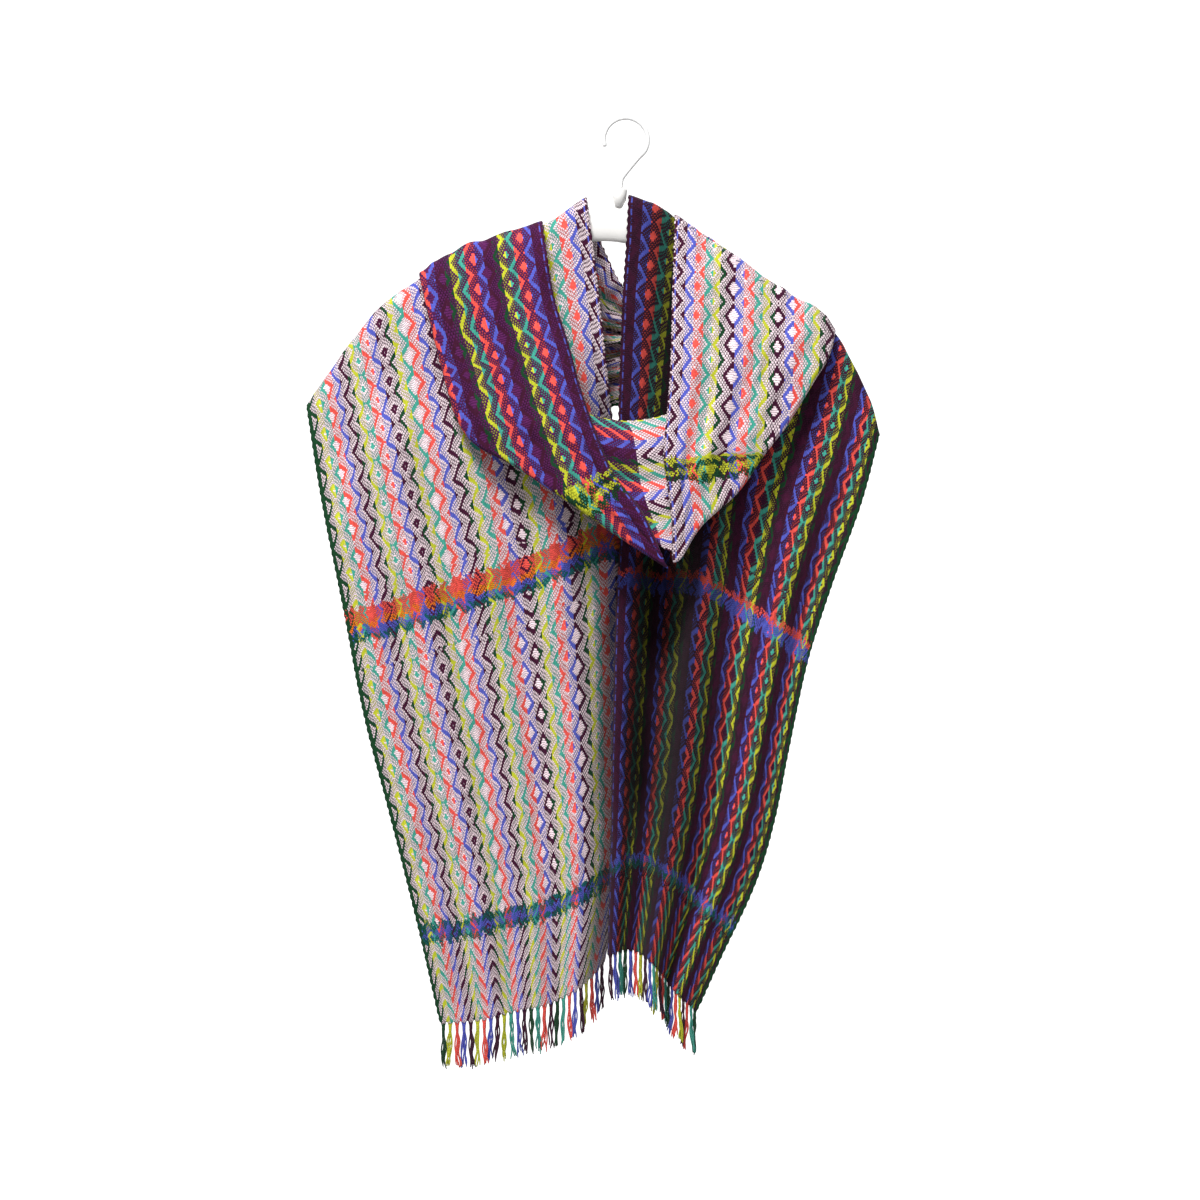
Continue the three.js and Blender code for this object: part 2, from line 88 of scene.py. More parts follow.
# The side of the boss from its foot to the hole in its top, columns radius, z.
BOSS_PROFILE = (
    (0.05, BOSS_FOOT),
    (BOSS_RADIUS, BOSS_FOOT),
    (BOSS_RADIUS, BOSS_TOP - 1.2),
    (BOSS_RADIUS - 0.35, BOSS_TOP - 0.35),
    (BOSS_RADIUS - 1.2, BOSS_TOP),
    (2.3, BOSS_TOP),
    (2.1, BOSS_TOP - 0.6),
    (0.05, BOSS_TOP - 0.6),
)
HOOK_WIRE = 4
HOOK_INSIDE = 36
HOOK_SHANK = {"rise": 8, "lean": 2.5, "neck": -49}
HOOK_ARC = {"from": -50, "to": 205, "steps": 9}
HOOK_STEPS = 110
HOOK_SIDES = 20
HOOK_END_LEAST = 0.02
HANGER_ARM = (
    (0, -72.5, -110.7),
    (16, -73.5, -112),
    (32, -79, -116),
    (67, -107.5, -134),
    (105, -127.5, -151),
    (137, -140, -164),
    (170, -163, -184),
    (190, -182, -198),
    (198, -193, -198),
)

# The fringe: length below the hem, tassels on each end, and yarns in a tassel.
FRINGE_LENGTH = 42
TASSELS = {"tail_left": 26, "tail_right": 22}
YARNS_PER_TASSEL = 5
HEM_SCALLOP = {"height": 1.3, "reach": 9}
YARN_RADIUS = 0.68
YARN_SIDES = 4
FRINGE_STEPS = 22
YARN_TWIST = 2.4
KNOT = {"at": 0.17, "long": 0.045, "swell": 0.9}
# How a tassel hangs: its lean sideways and its sway, and the share of its own hem that it takes up.
TASSEL = {"lean": 2.6, "sway": 3.0, "hem": 0.86}
# Its yarns gather at the knot, stay together below it, and open towards their ends. Places are
# shares of a yarn's length.
GATHER = {"most": 0.8, "long": 0.13, "below": 0.3, "from": 0.2, "to": 0.4}
OPENING = {"most": 0.45, "from": 0.45, "reach": 4}
# What differs from yarn to yarn: length, wave and depth. A yarn starts a little inside the hem.
YARN_LENGTH = {"mean": 0.93, "spread": 0.07}
YARN_WAVE = {"height": 0.8, "turn": 9, "spread": 3, "from": 0.08, "to": 0.4}
YARN_DEPTH = 1.4
YARN_START = {"inside": 4e-3, "share": 0.8}
YARN_TAPER = {"most": 0.35, "from": 0.9}

# How the weave looks: slow drift of the yarns, how wide the gaps between picks are, and how much painted
# shade darkens them.
WEAVE_DRIFT = {"reach": 2.4, "grain_across": 0.021, "grain_along": 0.017}
PICK_GAP_SHADE = {"wide": 0.07, "share": 0.85}
SHADED_WARP = 0.4
SELVEDGE_ENDS = 3
# How far a yarn's sides lie below its middle, across it and along it.
WARP_ROUND = (0.3, 0.1)
WEFT_ROUND = (0.8, 0.25)
# What counts in the lightness: a yarn's height, painted as shade where it lies low, its own tone, and its
# fibres.
YARN_SHADE = 0.62
YARN_TONE = {"spread": 0.30, "least": 0.87}
FIBRE_TONE = {"spread": 0.5, "least": 0.78}
FIBRE = {"grain": 1.9, "height": 0.3}
# Painted shade in the grooves along a fringe yarn's twist.
FRINGE_TWIST_SHADE = {"spread": 0.12, "mean": 0.92}

# How a run along the cloth, from minus half the longest on, becomes a share of a colour ramp.
RUN_LONGEST = 800
RUN_SCALE = 0.5 / RUN_LONGEST
RUN_ZERO = 0.25

# The photograph's frame: its side in pixels, millimetres a pixel on the cloth, and the pixel of
# the hook's inside top. The camera stands level, far off, so that its lens is long.
PHOTO_SIDE = 1200
PHOTO_SCALE = 0.9
HOOK_COLUMN = 628
HOOK_ROW = 118
CLOTH_PLANE = -20
CAMERA_DISTANCE = 4.5
SENSOR = 36

# The floor and the white sheet behind, in metres, with how pale each is and how much it glows.
FLOOR = {"radius": 1.4, "z": -1.25, "sides": 96, "pale": 0.60, "glow": 0}
BACKDROP = {"x": (-2.4, 2.4), "y": 5.6, "z": (-2.8, 1.9), "pale": 0.90, "glow": 1}
BACKDROP_MOTTLE = 0.03

# The lights, in metres and watts. Columns name, place, size, power. All point at one place.
LIGHTS = (
    ("key_softbox", (-0.7, -1.6, 1.9), (0.9, 0.7), 106),
    ("fill_softbox", (0.4, -2.6, 0.7), (1.2, 1.2), 8),
    ("back_softbox", (0.7, 2.0, 1.3), (0.9, 0.9), 26),
)
LIGHT_TARGET = (0, 0, -0.42)
SURROUND = 0.24

# The real take-up of the tails' run at their green and coral sides.
TAIL_TAKE_UP = {"tail_left": (1.035, 0.947), "tail_right": (1.0, 1.0)}

# Lines over the arms where the cloth turns from front to back, columns x, z, from the green
# selvedge to the coral one. The inner ones lie on the hanger and the outer ones on the inner.
CRESTS = {
    "leftInner": (
        (-290, -258), (-274, -235), (-248, -198), (-220, -167), (-188, -143), (-151, -122), (-118, -112),
        (-78, -96), (-38, -71),
    ),
    "leftOuter": (
        (-188, -136), (-168, -126), (-151, -115), (-131, -109), (-118, -105), (-97, -99), (-78, -92),
    ),
    "rightInner": (
        (227, -284), (219, -255), (199, -213), (187, -194), (152, -169), (119, -148), (83, -122),
        (56, -101), (29, -79), (1, -69),
    ),
    "rightOuter": (
        (187, -188), (174, -171), (152, -160), (119, -139), (94, -121), (66, -102), (43, -86),
    ),
}

# Stretches of cloth. head and foot are tables with columns x, z, from the green selvedge to the
# coral one. green and coral are the two sides from head to foot, with columns x, y, z.
# folds has columns headAt, footAt (place across, 0 green to 1 coral), rise, wide (share of the
# width), from, to (share of the length). A positive rise stands out from the hanger.
# crest is the height over which the head, or both ends of a back stretch, rounds over the arm.
# A doubled stretch turns under at its green side, and columns sets how much of it the turn takes.
STRETCHES = {
    "tail_left": {
        "weft": "pale", "out": -1,
        "crest": CREST_HEIGHT["tail"], "crest_at_foot": False,
        "head": CRESTS["leftInner"],
        "foot": (
            (-169, -814), (-136, -812), (-105, -805), (-71, -798), (-46, -785), (-21, -765),
        ),
        "green": (
            (-290, -8, -258), (-276, -12, -344), (-256, -14, -443), (-238, -16, -536), (-213, -18, -632),
            (-188, -20, -731), (-169, -22, -814),
        ),
        "coral": (
            (-38, -9, -71), (-32, -9, -114), (-25, -9, -171), (-19, -8, -229), (-14, -4, -272),
            (-5, 4, -344), (-2, 12, -434), (-3, 14, -542), (-7, 8, -668), (-21, 0, -765),
        ),
        "folds": (
            (0.10, 0.08, 7, 0.07, 0.10, 1.00),
            (0.30, 0.30, 9, 0.09, 0.08, 1.00),
            (0.52, 0.55, 8, 0.08, 0.12, 1.00),
            (0.74, 0.78, 12, 0.08, 0.25, 1.00),
        ),
        "curl": {"green": 0, "coral": 60, "wide": 0.16, "from": 0.47},
    },
    "tail_right": {
        "weft": "dark", "out": -1,
        "crest": CREST_HEIGHT["tail"], "crest_at_foot": False,
        "head": CRESTS["rightInner"],
        "foot": (
            (62, -805), (50, -794), (39, -783), (20, -758), (4, -750), (-8, -751), (-18, -755),
        ),
        "green": (
            (227, -8, -284), (211, -10, -344), (184, -14, -419), (162, -16, -488), (144, -16, -572),
            (132, -15, -632), (116, -14, -686), (82, -12, -760), (62, -10, -805),
        ),
        "coral": (
            (1, -9, -69), (-1, -9, -110), (-4, -9, -155), (-7, -10, -229), (-8, -11, -281),
            (-5, -14, -344), (-10, -20, -434), (-13, -26, -542), (-15, -27, -650), (-18, -26, -755),
        ),
        "folds": (
            (0.87, 0.86, -38, 0.08, 0.36, 1.00),
            (0.77, 0.75, -40, 0.08, 0.36, 1.00),
            (0.82, 0.80, 34, 0.13, 0.76, 1.00),
            (0.62, 0.58, 22, 0.08, 0.26, 1.00),
            (0.44, 0.38, -10, 0.07, 0.30, 1.00),
            (0.24, 0.20, 10, 0.08, 0.12, 1.00),
        ),
        "curl": {"green": 0, "coral": 18, "wide": 0.08, "from": 0.35},
    },
    "loop_left": {
        "weft": "dark", "out": -1, "columns": 18,
        "crest": CREST_HEIGHT["loop"], "crest_at_foot": False, "doubled": True,
        "head": CRESTS["leftOuter"],
        "foot": (
            (35, -405), (32, -400), (30, -394),
        ),
        "green": (
            (-188, -17, -138), (-178, -24, -182), (-165, -30, -233), (-153, -34, -272), (-138, -38, -293),
            (-101, -44, -314), (-53, -52, -346), (-13, -58, -374), (35, -62, -405),
        ),
        "coral": (
            (-78, -17, -92), (-73, -26, -126), (-66, -34, -165), (-54, -42, -203), (-44, -49, -241),
            (-33, -54, -274), (-24, -57, -297), (-13, -60, -322), (12, -63, -355), (30, -63, -394),
        ),
        "folds": (
            (0.18, 0.20, 2.5, 0.08, 0.00, 0.50),
            (0.42, 0.45, 2.5, 0.08, 0.00, 0.60),
            (0.68, 0.70, 2.5, 0.09, 0.00, 0.70),
            (0.88, 0.85, 3, 0.06, 0.05, 0.80),
        ),
        "curl": {"green": 0, "coral": 7, "wide": 0.10, "from": 0.10},
    },
    "loop_right": {
        "weft": "pale", "out": -1, "columns": 17,
        "crest": CREST_HEIGHT["loop"], "crest_at_foot": False, "doubled": True,
        "head": CRESTS["rightOuter"],
        "foot": (
            (48, -395), (44, -399), (40, -400),
        ),
        "green": (
            (187, -17, -189), (181, -24, -213), (167, -30, -237), (140, -38, -280), (122, -44, -303),
            (99, -50, -336), (64, -58, -369), (48, -62, -395),
        ),
        "coral": (
            (43, -17, -86), (40, -34, -164), (38, -46, -229), (35, -52, -267), (32, -57, -303),
            (35, -60, -330), (39, -62, -362), (40, -63, -400),
        ),
        "folds": (
            (0.20, 0.25, 3, 0.09, 0.02, 0.60),
            (0.50, 0.50, 5, 0.10, 0.10, 0.80),
            (0.80, 0.80, 3, 0.07, 0.05, 0.85),
        ),
        "curl": {"green": 0, "coral": 5, "wide": 0.09, "from": 0.10},
    },
    "loop_front": {
        "weft": "dark", "out": -1,
        "crest": CREST_HEIGHT["none"], "crest_at_foot": False,
        "head": (
            (-61, -254), (-41, -290), (-22, -330), (2, -366), (32, -387),
        ),
        "foot": (
            (59, -254), (56, -290), (54, -326), (50, -357), (41, -387),
        ),
        "green": (
            (-61, -37, -254), (-32, -33, -268), (-2, -31, -273), (32, -32, -268), (59, -35, -254),
        ),
        "coral": (
            (32, -56, -387), (35, -56, -389), (37, -56, -390), (39, -56, -389), (41, -56, -387),
        ),
        "folds": (
            (0.25, 0.25, 4, 0.10, 0.15, 0.85),
            (0.62, 0.62, 3, 0.10, 0.20, 0.80),
        ),
        "curl": {"green": 9, "coral": 0, "wide": 0.14, "from": 0.00},
    },
    "back_pale": {
        "weft": "pale", "out": 1,
        "crest": CREST_HEIGHT["back"], "crest_at_foot": True,
        "head": CRESTS["leftInner"],
        "foot": CRESTS["rightOuter"],
        "green": (
            (-290, 8, -258), (-250, 10, -301), (-187, 14, -310), (-97, 20, -281), (-6, 31, -256),
            (83, 38, -252), (146, 31, -229), (187, 18, -189),
        ),
        "coral": (
            (-38, 9, -71), (-31, 9, -94), (-22, 10, -116), (-4, 20, -150), (15, 30, -164),
            (29, 30, -141), (38, 24, -110), (43, 18, -86),
        ),
        "folds": (
            (0.15, 0.15, 12, 0.06, 0.12, 0.97),
            (0.40, 0.40, 14, 0.06, 0.12, 0.97),
            (0.65, 0.62, 14, 0.06, 0.12, 0.97),
            (0.88, 0.85, 10, 0.05, 0.15, 0.97),
        ),
        "curl": {"green": 0, "coral": 0, "wide": 0.05, "from": 0.0},
    },
    "back_dark": {
        "weft": "dark", "out": 1,
        "crest": CREST_HEIGHT["back"], "crest_at_foot": True,
        "head": CRESTS["leftOuter"],
        "foot": CRESTS["rightInner"],
        "green": (
            (-188, 18, -138), (-182, 26, -200), (-142, 34, -290), (-79, 34, -362), (-6, 30, -387),
            (83, 22, -375), (173, 12, -326), (227, 8, -284),
        ),
        "coral": (
            (-78, 18, -92), (-68, 33, -146), (-48, 43, -218), (-21, 41, -274), (4, 26, -290),
            (14, 13, -227), (11, 11, -146), (1, 11, -69),
        ),
        "folds": (
            (0.18, 0.16, 2.5, 0.08, 0.00, 0.20),
            (0.42, 0.42, 2.5, 0.08, 0.00, 0.20),
            (0.68, 0.68, 2.5, 0.09, 0.00, 0.20),
            (0.15, 0.15, 12, 0.06, 0.03, 0.88),
            (0.40, 0.38, 14, 0.06, 0.03, 0.88),
            (0.65, 0.62, 14, 0.06, 0.03, 0.86),
            (0.88, 0.85, 10, 0.05, 0.05, 0.84),
        ),
        "curl": {"green": 0, "coral": 0, "wide": 0.05, "from": 0.0},
    },
}

# Softer creases laid over the folds above, with the same columns as folds. They differ in length,
# depth and spacing, and the backs have their like.
CREASES = {
    "tail_left": (
        (0.17, 0.20, 1.8, 0.030, 0.04, 0.46),
        (0.41, 0.38, -2.2, 0.035, 0.05, 0.62),
        (0.60, 0.66, 2.0, 0.030, 0.02, 0.40),
        (0.83, 0.86, -2.6, 0.028, 0.05, 0.72),
        (0.24, 0.16, 1.6, 0.040, 0.52, 1.00),
        (0.45, 0.50, -1.9, 0.035, 0.60, 1.00),
        (0.67, 0.70, 1.7, 0.030, 0.55, 0.96),
    ),
    "tail_right": (
        (0.10, 0.12, -1.8, 0.030, 0.06, 0.55),
        (0.33, 0.30, 2.4, 0.028, 0.16, 0.80),
        (0.54, 0.50, -2.8, 0.026, 0.20, 0.92),
        (0.76, 0.73, 3.0, 0.024, 0.32, 1.00),
        (0.15, 0.10, 2.0, 0.036, 0.62, 1.00),
    ),
    "loop_left": (
        (0.10, 0.22, 1.4, 0.035, 0.00, 0.55),
        (0.30, 0.34, -1.8, 0.028, 0.00, 0.42),
        (0.50, 0.56, 1.6, 0.030, 0.02, 0.62),
        (0.74, 0.78, -1.5, 0.026, 0.00, 0.36),
        (0.60, 0.40, 1.7, 0.060, 0.55, 0.95),
        (0.36, 0.62, -1.6, 0.055, 0.62, 1.00),
    ),
    "loop_right": (
        (0.12, 0.20, -1.5, 0.032, 0.00, 0.50),
        (0.34, 0.38, 1.7, 0.028, 0.00, 0.44),
        (0.63, 0.60, -1.6, 0.030, 0.03, 0.66),
        (0.88, 0.86, 1.2, 0.024, 0.00, 0.48),
        (0.45, 0.66, 1.5, 0.060, 0.56, 0.96),
    ),
    "loop_front": (
        (0.12, 0.14, 1.6, 0.045, 0.05, 0.90),
        (0.42, 0.46, -2.0, 0.040, 0.18, 0.94),
        (0.80, 0.80, 1.3, 0.050, 0.10, 0.80),
    ),
    "back_pale": (
        (0.25, 0.28, 2.6, 0.030, 0.10, 0.90),
        (0.52, 0.50, -2.8, 0.028, 0.12, 0.88),
        (0.76, 0.74, 2.4, 0.026, 0.14, 0.90),
    ),
    "back_dark": (
        (0.26, 0.24, 2.6, 0.030, 0.08, 0.92),
        (0.53, 0.50, -2.8, 0.028, 0.10, 0.90),
        (0.78, 0.76, 2.4, 0.026, 0.12, 0.88),
    ),
}
# Slow swells and the pucker of the weave, columns height, length across, length along.
SWELLS = (
    (0.9, 83, 121),
    (0.5, 41, 67),
    (0.25, 17, 29),
)
# A woven selvedge is never ruler straight: height and length of its waves.
SELVEDGE_WAVE = {"height": 0.55, "length": 7.3}

# Colours, sRGB
COLOURS = {
    "pale": (240, 219, 226),
    "dark": (84, 28, 80),
    # Painted shade: the dark weft darkened, as it looks on a tail that hangs in shade.
    "shaded_dark": (66, 24, 52),
    "green": (22, 66, 38),
    "chartreuse": (192, 196, 48),
    "teal": (66, 160, 142),
    "coral": (232, 84, 74),
    "blue": (84, 92, 190),
    "aubergine": (64, 18, 46),
    "orange": (240, 122, 36),
    "deep_teal": (18, 92, 92),
}

# One repeat of the warp from the green selvedge, columns colour, ends. It starts beside a wider green
# edge and runs round until the band is full. The last ends at the coral selvedge are mixed.
WARP_REPEAT = (
    ("chartreuse", 5),
    ("teal", 6),
    ("coral", 7),
    ("blue", 6),
    ("aubergine", 7),
    ("green", 4),
)
GREEN_EDGE = 7
CORAL_EDGE = (
    ("aubergine", 2),
    ("blue", 2),
    ("aubergine", 2),
)

# Coloured picks across a stretch, columns from, to, colour: millimetres of run, which counts up
# from the hem on the tails and down from the crest on the loop.
BANDS = {
    "tail_left": (
        (69, 75, "aubergine"),
        (75, 80, "deep_teal"),
        (80, 86, "blue"),
        (86, 90, "deep_teal"),
        (359, 363, "deep_teal"),
        (363, 374, "blue"),
        (374, 376, "orange"),
        (376, 388, "coral"),
    ),
    "tail_right": (
        (66, 71, "aubergine"),
        (71, 76, "deep_teal"),
        (76, 84, "blue"),
        (328, 331, "deep_teal"),
        (331, 338, "blue"),
        (338, 340, "orange"),
        (340, 348, "coral"),
    ),
    "loop_left": (
        (236, 243, "chartreuse"),
        (243, 247, "green"),
        (247, 251, "chartreuse"),
        (251, 261, "green"),
    ),
    "loop_right": (
        (224, 231, "chartreuse"),
        (231, 235, "green"),
        (235, 239, "chartreuse"),
        (239, 249, "green"),
    ),
    "loop_front": (),
    "back_pale": (),
    "back_dark": (),
}
# Runs where the treadling goes straight on, so the twill draws long diagonals. Columns from, to.
STRAIGHT_RUNS = {
    "tail_left": ((0, 69), (336, 359), (389, 404)),
    "tail_right": ((0, 64), (350, 372)),
    "loop_left": ((262, 420),),
    "loop_right": ((250, 420),),
    "loop_front": ((-400, 400),),
    "back_pale": (),
    "back_dark": (),
}
# Ends, counted from the green selvedge, at which the threading turns back, so the twill's waves
# run side by side between two turns and face each other at a turn.
THREADING_TURNS = (12, 20, 50, 60, 71, 88, 132, 142, 165, 173, 188, 199)
# Parts of the twill, of eight ends, in which the warp lies on top: one wide line, then two of dots.
SHAFTS = 8
WARP_UP = ((0.0, 2.9), (3.75, 4.55), (5.6, 6.4))
# From this place on in the eight ends a warp comes up alone. Its dot is so long on the pick, and so light
# over a pale and a dark weft: painted shade, as a lone dot lies sunk between the weft's floats.
LONE_FROM = 3.0
DOT = {"pick": 0.33, "pale": 0.72, "dark": 0.6}
# Where the threading turns, the plain ground between two lines puffs up: its reach in steps, how
# much each end and pick away from its middle counts, and how high it stands.
PUFF = {"reach": 3.3, "end": 1.1, "pick": 1.0, "height": 0.3}
# The deep folds get painted shade: their colour is darkened, because they swallow more light than a soft
# studio light shows.
# First the lightness across the cloth, columns share, lightness, then how much of the painted shade counts
# along the run, columns run, share.
PAINTED_FOLD_SHADE = {
    "tail_left": (
        ((0.82, 1.0), (0.90, 0.55), (1.0, 0.4)),
        ((0, 0.85), (100, 1.0), (500, 1.0), (560, 0.0)),
    ),
    "tail_right": (
        ((0.50, 1.0), (0.61, 0.32), (0.90, 0.24), (0.965, 0.7), (1.0, 0.7)),
        ((0, 0.5), (120, 1.0), (800, 1.0)),
    ),
}
# In a band, only so many of the eight ends of a line stay on top.
BAND_KEPT = 1.6
# The beating leaves a band's edge ragged: its reach in millimetres, its grain in ends, and how much
# of that grain a pick counts.
BAND_RAG = {"reach": 22.0, "grain": 0.24, "pick": 0.3}
# The weft of one stretch is painted darker than its half of the band: painted shade, as that tail hangs in
# shade.
WEFT_PAINTED_SHADE = {"tail_right": "shaded_dark"}

# The line down the front of the loop where the weft changes, columns x, z.
WEFT_CHANGE = (
    (-1, -254), (-1, -274), (4, -283), (7, -299), (11, -329), (17, -349), (27, -374), (31, -394),
)
# The part of the band's width that the front of the loop takes.
LOOP_FRONT_CLOTH = {"from": 152, "to": 276}

WHITE = (1, 1, 1, 1)
BLACK = (0, 0, 0, 1)


def smooth(low, high, value):
    share = np.clip((value - low) / (high - low), 0, 1)
    return share * share * (3 - 2 * share)


def spline(points, per_span=48):
    """Close points along a centripetal Catmull-Rom curve through the given points."""
    points = np.array(points, dtype=float)
    padded = np.vstack((2 * points[0] - points[1], points, 2 * points[-1] - points[-2]))
    share = np.linspace(0, 1, per_span, endpoint=False)[:, None]
    runs = []
    for p0, p1, p2, p3 in zip(padded, padded[1:], padded[2:], padded[3:]):
        d0, d1, d2 = (math.sqrt(np.linalg.norm(b - a)) for a, b in ((p0, p1), (p1, p2), (p2, p3)))
        start = ((p1 - p0) / d0 - (p2 - p0) / (d0 + d1) + (p2 - p1) / d1) * d1
        end = ((p2 - p1) / d1 - (p3 - p1) / (d1 + d2) + (p3 - p2) / d2) * d1
        cubic = 2 * p1 - 2 * p2 + start + end
        square = 3 * (p2 - p1) - 2 * start - end
        runs.append(p1 + start * share + square * share ** 2 + cubic * share ** 3)
    return np.vstack(runs + [points[-1:]])


class Rail:
    """A curve that gives its place at a share of its length."""

    def __init__(self, points):
        self.points = spline(points)
        steps = np.linalg.norm(np.diff(self.points, axis=0), axis=1)
        self.run = np.concatenate(([0], np.cumsum(steps)))

    def at(self, share):
        place = np.asarray(share) * self.run[-1]
        columns = [np.interp(place, self.run, self.points[:, axis]) for axis in range(3)]
        return np.stack(columns, axis=-1)


def flat_rail(table):
    return Rail([(x, 0, z) for x, z in table])


class Patch:
    """A patch spanned by its four edges: across from green to coral, along from head to foot."""

    def __init__(self, stretch):
        self.head = flat_rail(stretch["head"])
        self.foot = flat_rail(stretch["foot"])
        self.green = Rail(stretch["green"])
        self.coral = Rail(stretch["coral"])

    def at(self, across, along):
        across = np.asarray(across, dtype=float)[..., None]
        along = np.asarray(along, dtype=float)[..., None]
        ends = (1 - along) * self.head.at(across[..., 0]) + along * self.foot.at(across[..., 0])
        green = self.green.at(along[..., 0])
        coral = self.coral.at(along[..., 0])
        sides = (1 - across) * green + across * coral
        corners = (
            (1 - along) * ((1 - across) * self.head.at(0) + across * self.head.at(1))
            + along * ((1 - across) * self.foot.at(0) + across * self.foot.at(1))
        )
        point = ends + sides - corners
        point[..., 1] = sides[..., 1]
        return point

    def width_at(self, along):
        gap = self.coral.at(along) - self.green.at(along)
        return np.hypot(gap[..., 0], gap[..., 2])

    def length_at(self, across):
        gap = self.at(across, np.ones_like(across)) - self.at(across, np.zeros_like(across))
        return np.hypot(gap[..., 0], gap[..., 2]) + 1


def fold_height(folds, across, along):
    height = np.zeros_like(across)
    for head_at, foot_at, rise, wide, start_at, end_at in folds:
        place = head_at + (foot_at - head_at) * along
        start = smooth(start_at, start_at + FOLD_RAMP, along) if start_at > 0 else 1
        end = 1 - smooth(end_at - FOLD_RAMP, end_at, along) if end_at < 1 else 1
        height += rise * start * end * np.exp(-((across - place) / wide) ** 2)
    return height


def curl_depth(curl, across, along):
    start = smooth(curl["from"], curl["from"] + FOLD_RAMP, along)
    at_green = np.maximum(0, 1 - across / curl["wide"])
    at_coral = np.maximum(0, 1 - (1 - across) / curl["wide"])
    return start * (curl["green"] * at_green ** 2 + curl["coral"] * at_coral ** 2)


def swell_height(across_mm, along_mm):
    """Slow waves, so that no part of the cloth is quite even."""
    height = np.zeros_like(across_mm)
    for number, (rise, wide, long) in enumerate(SWELLS):
        turn = 1.7 * number
        height += rise * np.sin(across_mm * 2 * math.pi / wide + turn) * np.sin(
            along_mm * 2 * math.pi / long + 2 * turn + across_mm / wide
        )
    return height


def doubled_under(across, columns, width, along):
    """A face that doubles under at its green side: a lip behind, a half round, then the face.

    Gives the place across the face, how far behind it the cloth lies, and the run of cloth past
    the start of the face.
    """
    grown = FOLD_RADIUS["least"] + FOLD_RADIUS["growth"] * along
    radius = np.minimum(np.minimum(FOLD_RADIUS["most"], grown), FOLD_RADIUS["share"] * width)
    lip = np.minimum(FOLD_LIP["most"], FOLD_LIP["share"] * width)
    lip_end = LIP_COLUMNS / columns
    round_end = (LIP_COLUMNS + ROUND_COLUMNS) / columns
    lip_share = 1 - across / lip_end
    angle = math.pi * ((across - lip_end) / (round_end - lip_end) - 0.5)
    face_share = (across - round_end) / (1 - round_end)
    on_lip = across < lip_end
    on_face = across >= round_end
    place = np.where(
        on_lip,
        (radius + lip_share * lip) / width,
        np.where(
            on_face,
            radius / width + face_share * (1 - radius / width),
            radius * (1 - np.cos(angle)) / width,
        ),
    )
    behind = np.where(on_lip, 2 * radius, np.where(on_face, 0, radius * (1 - np.sin(angle))))
    run = np.where(
        on_lip,
        math.pi * radius + lip_share * lip,
        np.where(on_face, 0, (math.pi / 2 - angle) * radius),
    )
    return place, behind, run, np.where(on_face, place, radius / width)


class Stretch:
    """One stretch of the band: its middle surface and the place on the cloth of each point."""

    def __init__(self, name):
        self.name = name
        self.table = STRETCHES[name]
        self.patch = Patch(self.table)

    def folded(self, column, along):
        if self.table.get("doubled"):
            width = self.patch.width_at(along)
            return doubled_under(column, self.table["columns"], width, along)
        return column, np.zeros_like(column), np.zeros_like(column), column

    def middle(self, column, along):
        table = self.table
        out = table["out"]
        across, behind, _, _ = self.folded(column, along)
        point = self.patch.at(across, along)
        length = self.patch.length_at(across)
        near = np.ones_like(across)
        if table["crest"] > 0:
            near = np.minimum(near, along * length / table["crest"])
            if table["crest_at_foot"]:
                near = np.minimum(near, (1 - along) * length / table["crest"])
        outward = np.sqrt(np.maximum(0, 1 - (1 - near) ** 2))
        upward = 1 - near
        rise = fold_height(table["folds"] + CREASES[self.name], across, along)
        width = self.patch.width_at(along)
        rise += swell_height(across * width, along * length)
        curl = curl_depth(table["curl"], across, along)
        depth = (out * point[..., 1] - curl - behind) * outward
        depth = np.where(near < 1, np.maximum(depth, SEAM / 2), depth)
        if self.name in TASSELS:
            tassel = np.cos(across * TASSELS[self.name] * 2 * math.pi)
            at_hem = smooth(HEM_SCALLOP["reach"], 0, (1 - along) * length)
            point[..., 2] += HEM_SCALLOP["height"] * tassel * at_hem
        point[..., 1] = out * (depth + rise * outward)
        point[..., 2] += (rise - behind) * upward
        return point

    def cloth_place(self, column, along):
        """Millimetres across the band from the green selvedge, and along its run."""
        return CLOTH_PLACE[self.name.split("_")[0]](self, column, along)

    def columns(self):
        width = self.patch.width_at(np.linspace(0, 1, WIDTH_READINGS)).max()
        if not self.table.get("doubled"):
            count = round(min(width, BAND_WIDTH) / GRID_STEP)
            return np.linspace(0, 1, count + 1)
        lip_end = LIP_COLUMNS / self.table["columns"]
        round_end = (LIP_COLUMNS + ROUND_COLUMNS) / self.table["columns"]
        face = round(width / GRID_STEP)
        return np.concatenate((
            np.linspace(0, lip_end, LIP_POINTS, endpoint=False),
            np.linspace(lip_end, round_end, ROUND_POINTS, endpoint=False),
            np.linspace(round_end, 1, face + 1),
        ))

    def rows(self):
        length = max(self.patch.green.run[-1], self.patch.coral.run[-1])
        if self.table["crest_at_foot"]:
            length = self.patch.green.run[-1]
        share = np.linspace(0, 1, round(length / GRID_STEP) + 1)
        if self.table["crest_at_foot"]:
            crowded = 0.5 - 0.5 * np.cos(math.pi * share)
            return ROWS_TO_BOTH_ENDS["even"] * share + ROWS_TO_BOTH_ENDS["crowded"] * crowded
        if self.table["crest"] > 0:
            return share ** ROW_CROWDING
        return share


def tail_cloth(stretch, column, along):
    """The run counts up from the hem, as the bands lie at a set distance from it."""
    points = stretch.middle(column, along)
    steps = np.linalg.norm(np.diff(points, axis=0), axis=-1)
    below = np.cumsum(steps[::-1], axis=0)[::-1]
    run = np.vstack((below, np.zeros((1, below.shape[1]))))
    at_green, at_coral = TAIL_TAKE_UP[stretch.name]
    return column * BAND_WIDTH, run * (at_green + (at_coral - at_green) * column)


